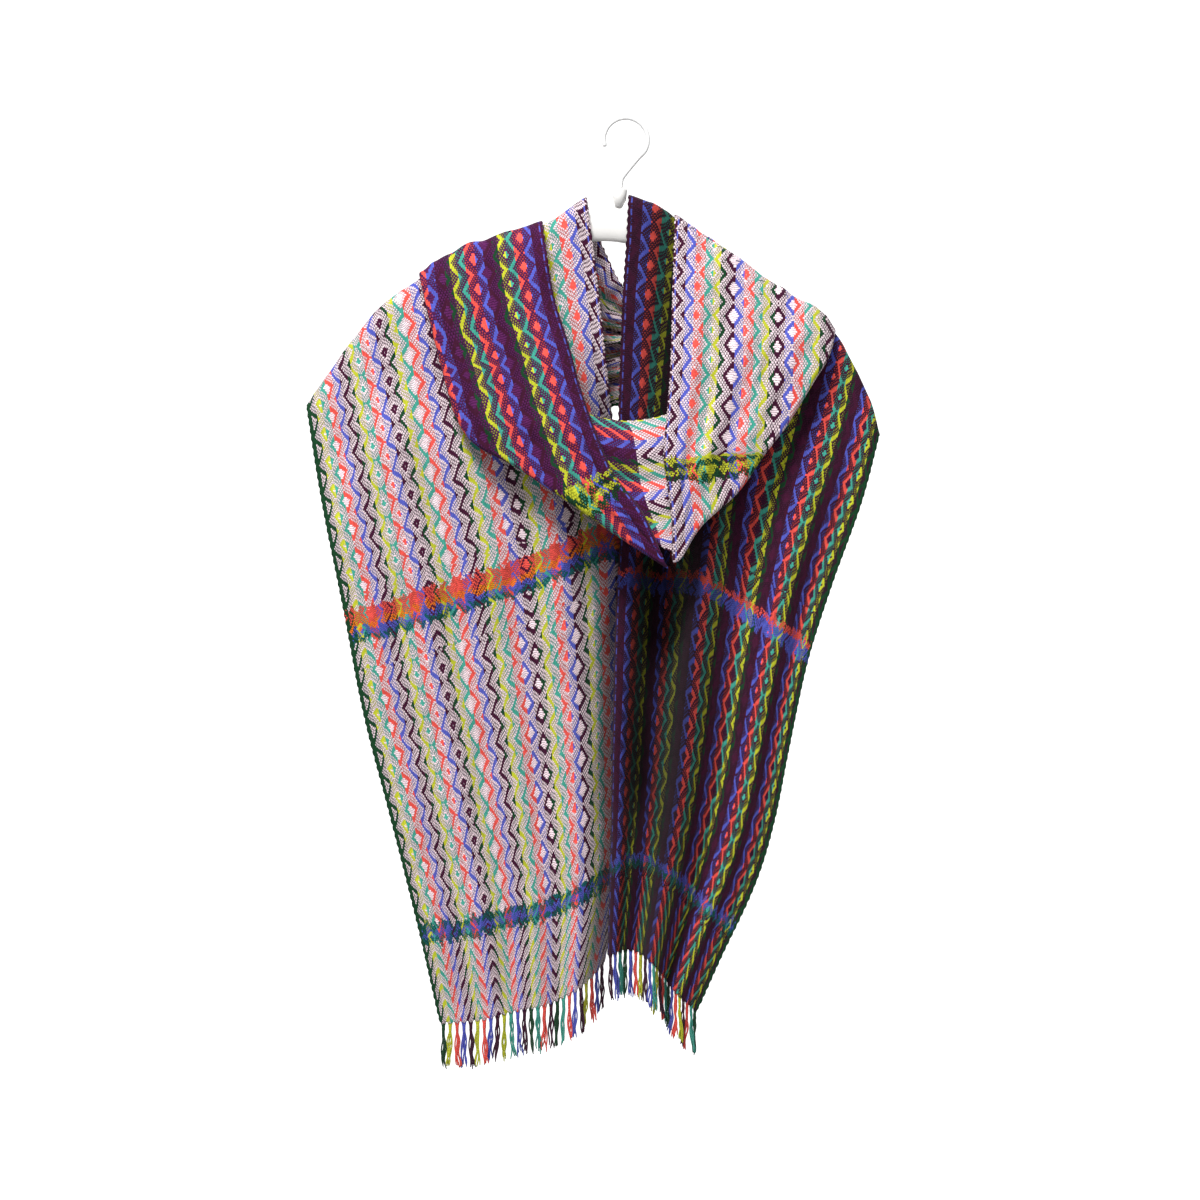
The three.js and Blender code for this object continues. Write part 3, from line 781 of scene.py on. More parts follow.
def loop_cloth(stretch, column, along):
    """The stripes run alongside the coral selvedge, which shows, and pass under the fold."""
    if stretch.name == "loop_front":
        return loop_front_cloth(stretch, column, along)
    _, _, run, face = stretch.folded(column, along)
    point = stretch.patch.at(face, along)[..., (0, 2)].reshape(-1, 2)
    rail = stretch.patch.coral
    line = rail.points[:, (0, 2)]
    across = np.empty(len(point))
    down = np.empty(len(point))
    for begin in range(0, len(point), PLACES_AT_ONCE):
        part = slice(begin, begin + PLACES_AT_ONCE)
        gap = np.linalg.norm(point[part, None] - line[None], axis=-1)
        across[part] = gap.min(axis=1)
        down[part] = rail.run[gap.argmin(axis=1)]
    across = across.reshape(column.shape) + run
    return BAND_WIDTH - across, down.reshape(column.shape)


def loop_front_cloth(stretch, column, along):
    """The run is the distance from the line where the weft changes, dark before and pale after."""
    point = stretch.middle(column, along)
    change = np.array(sorted(WEFT_CHANGE, key=lambda place: place[1]))
    at_change = np.interp(point[..., 2], change[:, 1], change[:, 0])
    first, last = LOOP_FRONT_CLOTH["from"], LOOP_FRONT_CLOTH["to"]
    return first + (last - first) * column, point[..., 0] - at_change


def back_cloth(stretch, column, along):
    points = stretch.middle(column, along)
    steps = np.linalg.norm(np.diff(points, axis=0), axis=-1)
    run = np.vstack((np.zeros((1, steps.shape[1])), np.cumsum(steps, axis=0)))
    return column * BAND_WIDTH, run


CLOTH_PLACE = {"tail": tail_cloth, "loop": loop_cloth, "back": back_cloth}


def link(name, mesh):
    piece = bpy.data.objects.new(name, mesh)
    bpy.context.scene.collection.objects.link(piece)
    return piece


def mesh_of(name, points, quads, cloth=None):
    """A mesh from places in millimetres, with its place on the cloth as a UV map."""
    points = np.asarray(points, dtype=float).reshape(-1, 3) * MM
    quads = np.asarray(quads, dtype=np.int32).reshape(-1, 4)
    mesh = bpy.data.meshes.new(name)
    mesh.vertices.add(len(points))
    mesh.vertices.foreach_set("co", points.astype(np.float32).ravel())
    mesh.loops.add(quads.size)
    mesh.loops.foreach_set("vertex_index", quads.ravel())
    mesh.polygons.add(len(quads))
    mesh.polygons.foreach_set("loop_start", np.arange(0, quads.size, 4, dtype=np.int32))
    mesh.update(calc_edges=True)
    if cloth is not None:
        layer = mesh.uv_layers.new(name="cloth")
        layer.data.foreach_set("uv", np.asarray(cloth, dtype=np.float32)[quads.ravel()].ravel())
    mesh.polygons.foreach_set("use_smooth", [True] * len(quads))
    mesh.validate()
    return mesh


def outward_mesh(name, points, quads, cloth=None):
    """A mesh of a closed form, with its faces turned round where they face in."""
    points = np.asarray(points, dtype=float).reshape(-1, 3)
    quads = np.asarray(quads, dtype=np.int32).reshape(-1, 4)
    a, b, c, d = (points[quads[:, corner]] for corner in range(4))
    volume = sum(
        np.einsum("ij,ij->i", a, np.cross(second, third)).sum() for second, third in ((b, c), (c, d))
    )
    if volume < 0:
        quads = quads[:, ::-1]
    return mesh_of(name, points, quads, cloth)


def shell(stretch):
    """The woven shell of a stretch: both faces and a rounded rim."""
    table = stretch.table
    across, along = np.meshgrid(stretch.columns(), stretch.rows())
    middle = stretch.middle(across, along)
    sideways = (
        stretch.middle(np.minimum(1, across + SMALL_STEP), along)
        - stretch.middle(np.maximum(0, across - SMALL_STEP), along)
    )
    lengthways = (
        stretch.middle(across, np.minimum(1, along + SMALL_STEP))
        - stretch.middle(across, np.maximum(0, along - SMALL_STEP))
    )
    normal = np.cross(sideways, lengthways)
    if table["crest"] > 0:
        normal[0, :, 1] = 0
        if table["crest_at_foot"]:
            normal[-1, :, 1] = 0
    normal /= np.linalg.norm(normal, axis=-1, keepdims=True)
    u, v = stretch.cloth_place(across, along)
    outward = sideways / np.linalg.norm(sideways, axis=-1, keepdims=True)
    wave = SELVEDGE_WAVE["height"] * np.sin(v * 2 * math.pi / SELVEDGE_WAVE["length"])
    for column, side in ((0, -1), (-1, 1)):
        middle[:, column] += side * outward[:, column] * wave[:, column, None]
    half = CLOTH_THICK / 2
    faces = [middle + normal * half, middle - normal * half]
    rows, columns = across.shape
    count = rows * columns
    index = np.arange(count).reshape(rows, columns)
    quads = [np.stack((index[:-1, :-1], index[:-1, 1:], index[1:, 1:], index[1:, :-1]), -1)]
    quads.append(quads[0][..., ::-1] + count)
    rim = np.concatenate((index[0, :-1], index[:-1, -1], index[-1, :0:-1], index[:0:-1, 0]))
    flat_middle = middle.reshape(-1, 3)
    inner = index[1:-1, 1:-1]
    towards = flat_middle[rim] - flat_middle[np.roll(rim, -1)]
    out = np.cross(normal.reshape(-1, 3)[rim], towards)
    out /= np.maximum(1e-9, np.linalg.norm(out, axis=-1, keepdims=True))
    centre = flat_middle[inner.ravel()].mean(axis=0)
    if np.einsum("ij,ij->i", out, flat_middle[rim] - centre).sum() < 0:
        out = -out
    ring = flat_middle[rim] + out * RIM_ROUND
    ring_index = 2 * count + np.arange(len(rim))
    after = np.roll(rim, -1)
    ring_after = np.roll(ring_index, -1)
    quads.append(np.stack((after, rim, ring_index, ring_after), -1))
    quads.append(np.stack((ring_after, ring_index, rim + count, after + count), -1))
    place = np.stack((u, v), -1).reshape(-1, 2)
    cloth = np.concatenate((place, place, place[rim]))
    points = np.concatenate([face.reshape(-1, 3) for face in faces] + [ring])
    flat = np.concatenate([part.reshape(-1, 4) for part in quads])
    return outward_mesh(stretch.name + "_cloth", points, flat, cloth)


def linear(colour):
    """A named sRGB colour as linear RGBA."""
    parts = [part / 255 for part in COLOURS[colour]]
    return tuple(
        part / 12.92 if part <= 0.04045 else ((part + 0.055) / 1.055) ** 2.4 for part in parts
    ) + (1,)


class Shader:
    """Short calls for a material's nodes."""

    def __init__(self, name):
        self.material = bpy.data.materials.new(name)
        self.material.use_nodes = True
        self.tree = self.material.node_tree
        self.tree.nodes.clear()
        output = self.tree.nodes.new("ShaderNodeOutputMaterial")
        self.surface = self.tree.nodes.new("ShaderNodeBsdfPrincipled")
        self.tree.links.new(self.surface.outputs[0], output.inputs[0])

    def put(self, value, socket):
        if isinstance(value, bpy.types.NodeSocket):
            self.tree.links.new(value, socket)
        else:
            socket.default_value = value

    def math(self, operation, *values):
        node = self.tree.nodes.new("ShaderNodeMath")
        node.operation = operation
        for value, socket in zip(values, node.inputs):
            self.put(value, socket)
        return node.outputs[0]

    def times(self, first, second):
        return self.math("MULTIPLY", first, second)

    def plus(self, first, second):
        return self.math("ADD", first, second)

    def minus(self, first, second):
        return self.math("SUBTRACT", first, second)

    def scaled(self, value, factor, offset):
        return self.math("MULTIPLY_ADD", value, factor, offset)

    def under(self, value, limit):
        return self.math("LESS_THAN", value, limit)

    def either(self, first, second):
        return self.math("MAXIMUM", first, second)

    def mix(self, share, first, second, blend="MIX"):
        node = self.tree.nodes.new("ShaderNodeMix")
        node.data_type = "RGBA"
        node.blend_type = blend
        self.put(share, node.inputs["Factor"])
        self.put(first, node.inputs["A"])
        self.put(second, node.inputs["B"])
        return [socket for socket in node.outputs if socket.type == "RGBA"][0]

    def shaded(self, colour, lightness):
        """A colour with its three parts taken times the same lightness."""
        return self.mix(1.0, colour, self.join(lightness, lightness, lightness), "MULTIPLY")

    def noise(self, vector, scale, detail=2, roughness=0.5):
        node = self.tree.nodes.new("ShaderNodeTexNoise")
        self.put(vector, node.inputs["Vector"])
        node.inputs["Scale"].default_value = scale
        node.inputs["Detail"].default_value = detail
        node.inputs["Roughness"].default_value = roughness
        return node.outputs["Fac"]

    def white_noise(self, vector):
        node = self.tree.nodes.new("ShaderNodeTexWhiteNoise")
        node.noise_dimensions = "2D"
        self.put(vector, node.inputs["Vector"])
        return node.outputs["Value"]

    def join(self, x, y, z=0.0):
        node = self.tree.nodes.new("ShaderNodeCombineXYZ")
        for value, socket in zip((x, y, z), node.inputs):
            self.put(value, socket)
        return node.outputs[0]

    def cloth_place(self):
        """Millimetres across and along the cloth."""
        node = self.tree.nodes.new("ShaderNodeUVMap")
        node.uv_map = "cloth"
        split = self.tree.nodes.new("ShaderNodeSeparateXYZ")
        self.tree.links.new(node.outputs[0], split.inputs[0])
        return split.outputs[0], split.outputs[1]

    def object_place(self):
        node = self.tree.nodes.new("ShaderNodeTexCoord")
        return node.outputs["Object"]

    def steps(self, share, stops):
        """A colour ramp of plain steps. stops has columns start, colour."""
        node = self.tree.nodes.new("ShaderNodeValToRGB")
        node.color_ramp.interpolation = "CONSTANT"
        elements = node.color_ramp.elements
        elements.remove(elements[1])
        elements[0].position = 0
        elements[0].color = stops[0][1]
        for start, colour in stops[1:]:
            elements.new(min(1, max(0, start))).color = colour
        self.put(share, node.inputs[0])
        return node.outputs[0]

    def ramp(self, share, stops):
        """A value that runs straight from stop to stop. stops has columns share, value."""
        node = self.tree.nodes.new("ShaderNodeValToRGB")
        elements = node.color_ramp.elements
        elements.remove(elements[1])
        elements[0].position = stops[0][0]
        elements[0].color = (stops[0][1],) * 3 + (1,)
        for place, value in stops[1:]:
            elements.new(place).color = (value,) * 3 + (1,)
        self.put(share, node.inputs[0])
        return node.outputs[0]

    def bump(self, height, distance, strength):
        node = self.tree.nodes.new("ShaderNodeBump")
        node.inputs["Strength"].default_value = strength
        node.inputs["Distance"].default_value = distance
        self.put(height, node.inputs["Height"])
        self.tree.links.new(node.outputs[0], self.surface.inputs["Normal"])

    def finish(self, colour, roughness, **settings):
        self.put(colour, self.surface.inputs["Base Color"])
        self.surface.inputs["Roughness"].default_value = roughness
        for name, value in settings.items():
            self.surface.inputs[name.replace("_", " ")].default_value = value
        return self.material


def warp_stops():
    """The warp stripes from the green selvedge to the coral one, as shares of the width."""
    all_ends = BAND_WIDTH / END_PITCH
    edge = all_ends - sum(ends for _, ends in CORAL_EDGE)
    stops = [(0, linear("green"))]
    place = GREEN_EDGE
    number = 0
    while place < edge:
        colour, ends = WARP_REPEAT[number % len(WARP_REPEAT)]
        stops.append((place / all_ends, linear(colour)))
        place += ends
        number += 1
    place = edge
    for colour, ends in CORAL_EDGE:
        stops.append((place / all_ends, linear(colour)))
        place += ends
    return stops


def run_place(run):
    return (run + RUN_LONGEST / 2) / (2 * RUN_LONGEST)


def run_stops(rows, rest):
    """Stops along the run: rows has columns from, to, value, and rest fills between them."""
    stops = [(0, rest)]
    for start, end, value in rows:
        if stops[-1][0] == start:
            stops[-1] = (start, value)
        else:
            stops.append((start, value))
        stops.append((end, rest))
    return [(run_place(place) if place else 0, value) for place, value in stops]


def yarn_colour(shader, u):
    """The warp colour at a place across the cloth, from two ramps that meet in its middle."""
    share = shader.math("DIVIDE", u, BAND_WIDTH)
    stops = warp_stops()
    middle = len(stops) // 2
    half = stops[middle][0]
    first = shader.steps(share, stops[:middle])
    second = shader.steps(share, stops[middle:])
    return shader.mix(shader.math("GREATER_THAN", share, half), first, second)


def twill_step(shader, name, ends, pick, run_share):
    """How far the threading is ahead of the treadling, and where the ground puffs up."""
    pointed = shader.math("PINGPONG", pick, SHAFTS - 1.0)
    threading = ends
    puff_far = None
    for number, turn in enumerate(THREADING_TURNS):
        beyond = shader.minus(ends, float(turn))
        threading = shader.scaled(shader.either(beyond, 0.0), 2.0 if number % 2 else -2.0, threading)
        # The lines stand apart at one end of the treadling or the other, by the way of the turn.
        late = shader.minus(SHAFTS - 1.0, pointed) if number % 2 else pointed
        late = shader.times(late, PUFF["pick"])
        far = shader.scaled(shader.math("ABSOLUTE", beyond), PUFF["end"], late)
        puff_far = far if puff_far is None else shader.math("MINIMUM", puff_far, far)
    runs = [(start, end_at, WHITE) for start, end_at in STRAIGHT_RUNS[name]]
    straight = shader.steps(run_share, run_stops(runs, BLACK))
    bent = shader.minus(1.0, straight)
    puff = shader.times(shader.under(puff_far, PUFF["reach"]), bent)
    treadling = shader.plus(shader.times(pointed, bent), shader.times(pick, straight))
    step = shader.math("FLOORED_MODULO", shader.minus(threading, treadling), float(SHAFTS))
    return step, puff


def rounded(shader, share, depth):
    """The height over a yarn, 1 along its middle and less by depth at its sides."""
    centred = shader.scaled(share, 2.0, -1.0)
    return shader.scaled(shader.times(centred, centred), -depth, 1.0)


def weave_height(shader, warp_up, across_end, across_pick, puff):
    """Each yarn is round: high along its middle, low where it dives under the next."""
    warp_across, warp_along = WARP_ROUND
    weft_across, weft_along = WEFT_ROUND
    warp = shader.times(
        rounded(shader, across_end, warp_across), rounded(shader, across_pick, warp_along)
    )
    weft = shader.times(
        rounded(shader, across_pick, weft_across), rounded(shader, across_end, weft_along)
    )
    on_top = shader.plus(shader.times(warp_up, warp), shader.times(shader.minus(1.0, warp_up), weft))
    return shader.scaled(puff, PUFF["height"], on_top)


def weave_material(name):
    """Point twill of eight shafts, drawn end by end and pick by pick."""
    weft = STRETCHES[name]["weft"]
    shader = Shader(name + "_weave")
    u, v = shader.cloth_place()
    place = shader.join(u, v)
    drift_u = shader.noise(place, WEAVE_DRIFT["grain_across"])
    drift_v = shader.noise(shader.join(v, u, 9.0), WEAVE_DRIFT["grain_along"])
    reach = WEAVE_DRIFT["reach"]
    ends = shader.math("DIVIDE", shader.plus(u, shader.scaled(drift_u, reach, -reach / 2)), END_PITCH)
    picks = shader.math("DIVIDE", shader.plus(v, shader.scaled(drift_v, reach, -reach / 2)), PICK_PITCH)
    end = shader.math("FLOOR", ends)
    pick = shader.math("FLOOR", picks)
    across_end = shader.math("FRACT", ends)
    across_pick = shader.math("FRACT", picks)
    run_share = shader.scaled(v, RUN_SCALE, RUN_ZERO)
    step, puff = twill_step(shader, name, ends, pick, run_share)
    tie_up = []
    for start, end_at in WARP_UP:
        tie_up += [(start / SHAFTS, WHITE), (end_at / SHAFTS, BLACK)]
    warp_up = shader.steps(shader.math("DIVIDE", step, float(SHAFTS)), tie_up)
    # A warp that comes up alone is a dot between two picks.
    from_pick = shader.math("ABSOLUTE", shader.minus(across_pick, 0.5))
    dot = shader.times(shader.under(from_pick, DOT["pick"]), shader.minus(1.0, puff))
    paired = shader.under(step, LONE_FROM)
    selvedge = shader.under(end, float(SELVEDGE_ENDS))
    warp_up = shader.either(shader.times(warp_up, shader.either(paired, dot)), selvedge)

    # In a coloured band the weft floats over most of the ends.
    rag = shader.noise(shader.join(end, shader.times(pick, BAND_RAG["pick"])), BAND_RAG["grain"])
    ragged = shader.scaled(rag, BAND_RAG["reach"], -BAND_RAG["reach"] / 2)
    band_share = shader.scaled(shader.plus(v, ragged), RUN_SCALE, RUN_ZERO)
    covered = [(start, end_at, WHITE) for start, end_at, _ in BANDS[name]]
    in_band = shader.steps(band_share, run_stops(covered, BLACK))
    kept = shader.either(shader.under(step, BAND_KEPT), shader.minus(1.0, paired))
    warp_up = shader.times(warp_up, shader.either(kept, shader.minus(1.0, in_band)))
    if name == "loop_front":
        weft_colour = shader.mix(shader.math("GREATER_THAN", v, 0.0), linear("dark"), linear("pale"))
    else:
        coloured = [(start, end_at, linear(colour)) for start, end_at, colour in BANDS[name]]
        # A stretch with painted shade takes the darker weft colour.
        weft_colour = shader.steps(band_share, run_stops(coloured, linear(WEFT_PAINTED_SHADE.get(name, weft))))
    warp_colour = yarn_colour(shader, shader.times(end, END_PITCH))

    # Between two picks the warp shows through a pale weft, darkened there by painted shade from the yarn
    # over it; over a dark weft the gap is the weft itself darkened by painted shade.
    between = shader.math("GREATER_THAN", from_pick, 0.5 - PICK_GAP_SHADE["wide"])
    seen_through = warp_colour if weft == "pale" else weft_colour
    below = shader.mix(1.0, seen_through, (SHADED_WARP, SHADED_WARP, SHADED_WARP, 1), "MULTIPLY")
    weft_colour = shader.mix(shader.times(between, PICK_GAP_SHADE["share"]), weft_colour, below)
    # Painted shade: a warp that comes up alone is darkened in colour.
    lone = shader.minus(1.0, shader.either(paired, selvedge))
    warp_colour = shader.shaded(warp_colour, shader.scaled(lone, DOT[weft] - 1.0, 1.0))
    colour = shader.mix(warp_up, weft_colour, warp_colour)

    height = weave_height(shader, warp_up, across_end, across_pick, puff)
    tone = shader.white_noise(shader.join(end, pick))
    fibre = shader.noise(place, FIBRE["grain"], detail=3, roughness=0.6)
    # Painted shade: a yarn's low sides, where it dives under the next, are darkened by its height.
    lightness = shader.scaled(height, YARN_SHADE, 1 - YARN_SHADE)
    lightness = shader.times(lightness, shader.scaled(tone, YARN_TONE["spread"], YARN_TONE["least"]))
    lightness = shader.times(lightness, shader.scaled(fibre, FIBRE_TONE["spread"], FIBRE_TONE["least"]))
    # Painted shade: the deep folds are darkened by their place on the cloth.
    if name in PAINTED_FOLD_SHADE:
        across_shade, along_shade = PAINTED_FOLD_SHADE[name]
        across = shader.math("DIVIDE", u, BAND_WIDTH)
        counts = shader.ramp(run_share, [(run_place(run), share) for run, share in along_shade])
        fold_shade = shader.times(shader.minus(1.0, shader.ramp(across, across_shade)), counts)
        lightness = shader.times(lightness, shader.minus(1.0, fold_shade))
    shader.bump(shader.scaled(fibre, FIBRE["height"], height), distance=0.0007, strength=0.55)
    return shader.finish(
        shader.shaded(colour, lightness),
        roughness=0.86,
        Sheen_Weight=0.04,
        Sheen_Roughness=0.5,
        Specular_IOR_Level=0.12,
    )


def fringe_material():
    """Plied yarn in the colour of the warp stripe that it leaves."""
    shader = Shader("fringe_yarn")
    u, v = shader.cloth_place()
    twist = shader.math("SINE", shader.times(v, 2 * math.pi / YARN_TWIST))
    fibre = shader.noise(shader.join(u, v), scale=1.6, detail=3, roughness=0.6)
    # Painted shade along the twist: the grooves between the plies are darker.
    lightness = shader.scaled(twist, FRINGE_TWIST_SHADE["spread"], FRINGE_TWIST_SHADE["mean"])
    lightness = shader.times(lightness, shader.scaled(fibre, FIBRE_TONE["spread"], FIBRE_TONE["least"]))
    shader.bump(twist, distance=0.0003, strength=0.5)
    return shader.finish(
        shader.shaded(yarn_colour(shader, u), lightness),
        roughness=0.8,
        Sheen_Weight=0.12,
        Sheen_Roughness=0.4,
        Specular_IOR_Level=0.25,
    )


def plastic_material():
    """White moulded plastic with faint flow marks."""
    shader = Shader("hanger_plastic")
    place = shader.object_place()
    flow = shader.noise(place, scale=22, detail=3)
    colour = shader.mix(flow, (0.90, 0.88, 0.85, 1), (0.94, 0.93, 0.91, 1))
    shader.bump(shader.noise(place, scale=900), distance=0.00004, strength=0.4)
    return shader.finish(colour, roughness=0.32, Specular_IOR_Level=0.5, Coat_Weight=0.15)


def wire_material():
    """White coated wire with a fine orange-peel coat."""
    shader = Shader("hook_coating")
    place = shader.object_place()
    tone = shader.noise(place, scale=60)
    colour = shader.mix(tone, (0.90, 0.90, 0.89, 1), (0.95, 0.95, 0.95, 1))
    shader.bump(shader.noise(place, scale=700), distance=0.00005, strength=0.5)
    return shader.finish(
        colour, roughness=0.28, Specular_IOR_Level=0.5, Coat_Weight=0.3, Coat_Roughness=0.15
    )


def backdrop_material(name, pale, glow):
    shader = Shader(name)
    tone = shader.noise(shader.object_place(), scale=0.8, detail=1, roughness=0.4)
    paler = pale + BACKDROP_MOTTLE
    colour = shader.mix(tone, (pale, pale, pale, 1), (paler, paler, paler, 1))
    shader.surface.inputs["Emission Color"].default_value = WHITE
    return shader.finish(colour, roughness=0.9, Specular_IOR_Level=0.1, Emission_Strength=glow)


# The scene's pieces
def make_cloth(stretch):
    piece = link(stretch.name + "_cloth", shell(stretch))
    piece.data.materials.append(weave_material(stretch.name))
    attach(piece, "root")
    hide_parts(stretch.name)
    return piece


def spread(seed):
    """A repeatable number between -1 and 1."""
    value = math.sin(seed * 12.9898 + 4.137) * 43758.5453
    return 2 * (value - math.floor(value)) - 1


def ring_quads(index):
    """Quads between each ring and the next. index has a row of points for each ring."""
    after = np.roll(index, -1, axis=1)
    return np.stack((index[:-1], after[:-1], after[1:], index[1:]), -1).reshape(-1, 4)


def ring_caps(first, sides, flip):
    """Quads that close the ring whose points start at first."""
    last = first + sides - 1
    caps = [(first + side, first + side + 1, last - 1 - side, last - side) for side in range(sides // 2 - 1)]
    return [cap if flip else cap[::-1] for cap in caps]


def tube(line, radii, sides):
    """Rings of places round a line, the quads between them and those that close both ends."""
    line = np.asarray(line, dtype=float)
    tangent = np.gradient(line, axis=0)
    tangent /= np.linalg.norm(tangent, axis=1, keepdims=True)
    side = np.cross(tangent, (0, 1, 0))
    weak = np.linalg.norm(side, axis=1) < WEAK_SIDE
    side[weak] = np.cross(tangent[weak], (1, 0, 0))
    side /= np.linalg.norm(side, axis=1, keepdims=True)
    up = np.cross(side, tangent)
    angle = np.arange(sides) * 2 * math.pi / sides
    ring = side[:, None] * np.cos(angle)[None, :, None] + up[:, None] * np.sin(angle)[None, :, None]
    points = line[:, None] + ring * np.asarray(radii)[:, None, None]
    quads = ring_quads(np.arange(len(line) * sides).reshape(len(line), sides))
    caps = ring_caps(0, sides, False) + ring_caps((len(line) - 1) * sides, sides, True)
    return points.reshape(-1, 3), np.concatenate((quads, np.array(caps)))


def yarn_line(tail, tassel, yarn, seed):
    """One yarn of a tassel: its middle line, how far down it each place is, its length, its number."""
    tassels = TASSELS[tail.name]
    drop = np.linspace(0, 1, FRINGE_STEPS)
    number = seed + 100 + tassel * YARNS_PER_TASSEL + yarn
    centre = (tassel + 0.5) / tassels
    own = (yarn + 0.5) / YARNS_PER_TASSEL - 0.5
    across = centre + TASSEL["hem"] * own / tassels
    hem, inside, middle_hem = (
        tail.middle(np.array([place]), np.array([share]))[0]
        for place, share in ((across, 1), (across, 1 - YARN_START["inside"]), (centre, 1))
    )
    lean = TASSEL["lean"] * spread(seed + tassel * 3.1)
    sway = TASSEL["sway"] * spread(seed + tassel * 5.3 + 0.4)
    sideways = hem - middle_hem
    gather = 1 - GATHER["most"] * np.exp(-((drop - KNOT["at"]) / GATHER["long"]) ** 2)
    gather = gather - GATHER["below"] * smooth(GATHER["from"], GATHER["to"], drop)
    opening = OPENING["most"] * smooth(OPENING["from"], 1, drop) * spread(number + 0.2)
    length = FRINGE_LENGTH * (YARN_LENGTH["mean"] + YARN_LENGTH["spread"] * spread(number + 0.25))
    turn = YARN_WAVE["turn"] + YARN_WAVE["spread"] * spread(number)
    wave = YARN_WAVE["height"] * np.sin(drop * turn + YARN_WAVE["spread"] * spread(number + 0.6))
    x = middle_hem[0] + sideways[0] * gather + (lean * drop + OPENING["reach"] * opening) * drop
    x = x + wave * smooth(YARN_WAVE["from"], YARN_WAVE["to"], drop)
    y = middle_hem[1] + sideways[1] * gather + sway * drop ** 2 + YARN_DEPTH * spread(number + 0.9) * drop
    line = np.stack((x, y, hem[2] - length * drop), -1)
    line[0] = hem + (inside - hem) * YARN_START["share"]
    return line, drop, length, number


def make_fringe(tail, name, seed):
    """Tassels of loose yarns that gather below the hem and open again towards their ends."""
    tassels = TASSELS[tail.name]
    points = []
    quads = []
    cloth = []
    count = 0
    for tassel in range(tassels):
        for yarn in range(YARNS_PER_TASSEL):
            line, drop, length, number = yarn_line(tail, tassel, yarn, seed)
            knot = np.exp(-((drop - KNOT["at"]) / KNOT["long"]) ** 2)
            taper = YARN_TAPER["most"] * smooth(YARN_TAPER["from"], 1, drop)
            radii = YARN_RADIUS * (1 + KNOT["swell"] * knot - taper)
            tube_points, tube_quads = tube(line, radii, YARN_SIDES)
            points.append(tube_points)
            quads.append(tube_quads + count)
            count += len(tube_points)
            u = np.full(len(tube_points), (tassel + 0.5) / tassels * BAND_WIDTH)
            turn = np.tile(np.arange(YARN_SIDES) / YARN_SIDES, FRINGE_STEPS) * YARN_TWIST
            v = np.repeat(length * drop, YARN_SIDES) + turn + 7 * number
            cloth.append(np.stack((u, v), -1))
    mesh = outward_mesh(name, np.concatenate(points), np.concatenate(quads), np.concatenate(cloth))
    piece = link(name, mesh)
    piece.data.materials.append(fringe_material())
    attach(piece, "root")
    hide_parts(name.replace("_yarns", ""))
    return piece


def tilted(points):
    """Turns places about Y by the hanger's tilt."""
    points = np.asarray(points, dtype=float)
    x = points[:, 0] * math.cos(HANGER_TILT) + points[:, 2] * math.sin(HANGER_TILT)
    z = points[:, 2] * math.cos(HANGER_TILT) - points[:, 0] * math.sin(HANGER_TILT)
    return np.stack((x, points[:, 1], z), -1)


def superellipse(angle):
    cosine = np.cos(angle)
    return np.sign(cosine) * np.abs(cosine) ** HANGER_ROUNDING


def make_hanger():
    arm = np.array(HANGER_ARM, dtype=float)
    whole = np.vstack((arm[:0:-1] * (-1, 1, 1), arm))
    top = Rail([(reach, 0, z) for reach, z, _ in whole]).points
    bottom = Rail([(reach, 0, z) for reach, _, z in whole]).points
    tip = arm[-1, 0]
    place = tip * np.sin(np.linspace(-1, 1, HANGER_RINGS) * math.pi / 2)
    high = np.interp(place, top[:, 0], top[:, 2])
    low = np.interp(place, bottom[:, 0], bottom[:, 2])
    slim = 1 - (1 - HANGER_TIP) * smooth(arm[-2, 0], tip, np.abs(place))
    angle = np.arange(HANGER_SIDES) * 2 * math.pi / HANGER_SIDES
    points = np.empty((HANGER_RINGS, HANGER_SIDES, 3))
    points[..., 0] = place[:, None]
    points[..., 1] = slim[:, None] * HANGER_DEPTH / 2 * np.sin(angle)
    points[..., 2] = (high + low)[:, None] / 2 + (high - low)[:, None] / 2 * superellipse(angle)
    quads = ring_quads(np.arange(points.size // 3).reshape(HANGER_RINGS, HANGER_SIDES))
    points = points.reshape(-1, 3)
    last_ring = (HANGER_RINGS - 1) * HANGER_SIDES
    caps = ring_caps(0, HANGER_SIDES, False) + ring_caps(last_ring, HANGER_SIDES, True)
    profile = np.array(BOSS_PROFILE)
    boss = np.stack((
        profile[:, 0, None] * np.cos(angle),
        profile[:, 0, None] * np.sin(angle),
        np.repeat(profile[:, 1, None], HANGER_SIDES, axis=1),
    ), -1).reshape(-1, 3)
    boss_quads = ring_quads(len(points) + np.arange(len(boss)).reshape(len(profile), HANGER_SIDES))
    all_points = tilted(np.concatenate((points, boss)))
    all_quads = np.concatenate((quads, np.array(caps), boss_quads))
    piece = link("hanger_moulding", outward_mesh("hanger_moulding", all_points, all_quads))
    piece.data.materials.append(plastic_material())
    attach(piece, "root")
    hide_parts("hanger_body")
    return piece


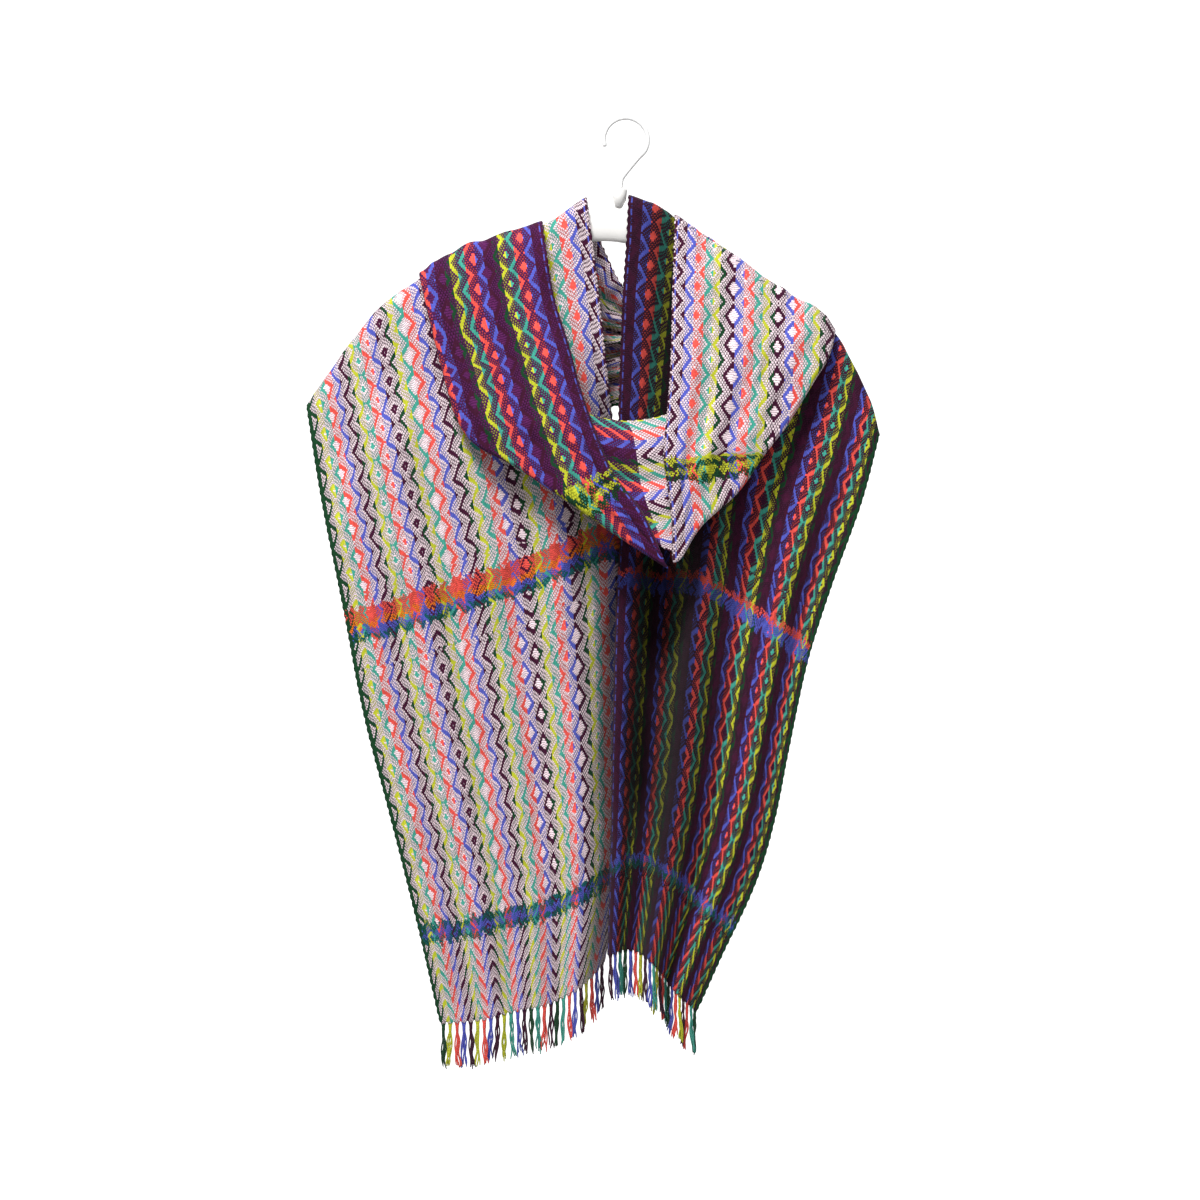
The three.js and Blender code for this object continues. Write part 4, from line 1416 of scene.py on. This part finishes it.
def make_hook():
    radius = (HOOK_INSIDE + HOOK_WIRE) / 2
    centre = -HOOK_INSIDE / 2
    points = [
        (0, 0, BOSS_TOP + SEAM),
        (0, 0, BOSS_TOP + HOOK_SHANK["rise"]),
        (HOOK_SHANK["lean"], 0, HOOK_SHANK["neck"]),
    ]
    for step in range(HOOK_ARC["steps"] + 1):
        share = step / HOOK_ARC["steps"]
        angle = math.radians(HOOK_ARC["from"] + (HOOK_ARC["to"] - HOOK_ARC["from"]) * share)
        points.append((radius * math.cos(angle), 0, centre + radius * math.sin(angle)))
    rail = Rail(points)
    line = rail.at(np.linspace(0, 1, HOOK_STEPS))
    from_end = (HOOK_STEPS - 1 - np.arange(HOOK_STEPS)) * rail.run[-1] / (HOOK_STEPS - 1)
    rounding = np.clip(from_end / (HOOK_WIRE / 2), 0, 1)
    radii = HOOK_WIRE / 2 * np.sqrt(np.maximum(HOOK_END_LEAST, 1 - (1 - rounding) ** 2))
    tube_points, tube_quads = tube(tilted(line), radii, HOOK_SIDES)
    piece = link("hook_coated_wire", outward_mesh("hook_wire", tube_points, tube_quads))
    piece.data.materials.append(wire_material())
    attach(piece, "root")
    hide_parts("hanger_hook")
    return piece


def make_backdrop():
    """A pale round floor, and a white sheet farther behind than any view is taken from."""
    turns = np.arange(FLOOR["sides"]) * math.tau / FLOOR["sides"]
    rim = np.stack((np.cos(turns), np.sin(turns)), -1) * FLOOR["radius"] / MM
    height = np.full((len(rim), 1), FLOOR["z"] / MM)
    middle = (0, 0, FLOOR["z"] / MM)
    points = np.concatenate((np.hstack((rim, height)), [middle]))
    wedges = [
        (FLOOR["sides"], first, first + 1, (first + 2) % FLOOR["sides"])
        for first in range(0, FLOOR["sides"], 2)
    ]
    floor = link("studio_floor", mesh_of("studio_floor", points, wedges))
    floor.data.materials.append(backdrop_material("studio_floor", FLOOR["pale"], FLOOR["glow"]))
    left, right = BACKDROP["x"]
    low, high = BACKDROP["z"]
    corners = ((left, low), (right, low), (right, high), (left, high))
    points = [(x / MM, BACKDROP["y"] / MM, z / MM) for x, z in corners]
    sheet = link("studio_sheet", mesh_of("studio_sheet", points, [(0, 1, 2, 3)]))
    sheet.data.materials.append(backdrop_material("studio_sheet", BACKDROP["pale"], BACKDROP["glow"]))


def add_light(name, place, size, watts):
    light = bpy.data.lights.new(name, "AREA")
    light.shape = "RECTANGLE"
    light.size, light.size_y = size
    light.energy = watts
    lamp = bpy.data.objects.new(name, light)
    bpy.context.scene.collection.objects.link(lamp)
    lamp.location = place
    lamp.rotation_euler = (Vector(LIGHT_TARGET) - Vector(place)).to_track_quat("-Z", "Y").to_euler()


def light_studio():
    for name, place, size, watts in LIGHTS:
        add_light(name, place, size, watts)
    world = bpy.data.worlds.new("studio_air")
    bpy.context.scene.world = world
    world.use_nodes = True
    background = world.node_tree.nodes["Background"]
    background.inputs["Color"].default_value = WHITE
    background.inputs["Strength"].default_value = SURROUND


def set_camera():
    """Level with the middle of the scarf, with a long lens as in the photograph."""
    camera = bpy.data.cameras.new("camera")
    camera.sensor_width = SENSOR
    frame_width = PHOTO_SIDE * PHOTO_SCALE * MM
    camera.lens = SENSOR * CAMERA_DISTANCE / frame_width
    holder = bpy.data.objects.new("camera", camera)
    bpy.context.scene.collection.objects.link(holder)
    holder.location = (
        (PHOTO_SIDE / 2 - HOOK_COLUMN) * PHOTO_SCALE * MM,
        CLOTH_PLANE * MM - CAMERA_DISTANCE,
        (HOOK_ROW - PHOTO_SIDE / 2) * PHOTO_SCALE * MM,
    )
    holder.rotation_euler = (math.pi / 2, 0, 0)
    bpy.context.scene.camera = holder


bpy.context.scene.view_settings.view_transform = "Standard"
set_camera()
make_backdrop()
light_studio()
stretches = {name: Stretch(name) for name in STRETCHES}
cloths = {name: make_cloth(stretch) for name, stretch in stretches.items()}
make_hanger()
make_hook()
fringes = {
    "tail_left": make_fringe(stretches["tail_left"], "fringe_left_yarns", 1),
    "tail_right": make_fringe(stretches["tail_right"], "fringe_right_yarns", 301),
}
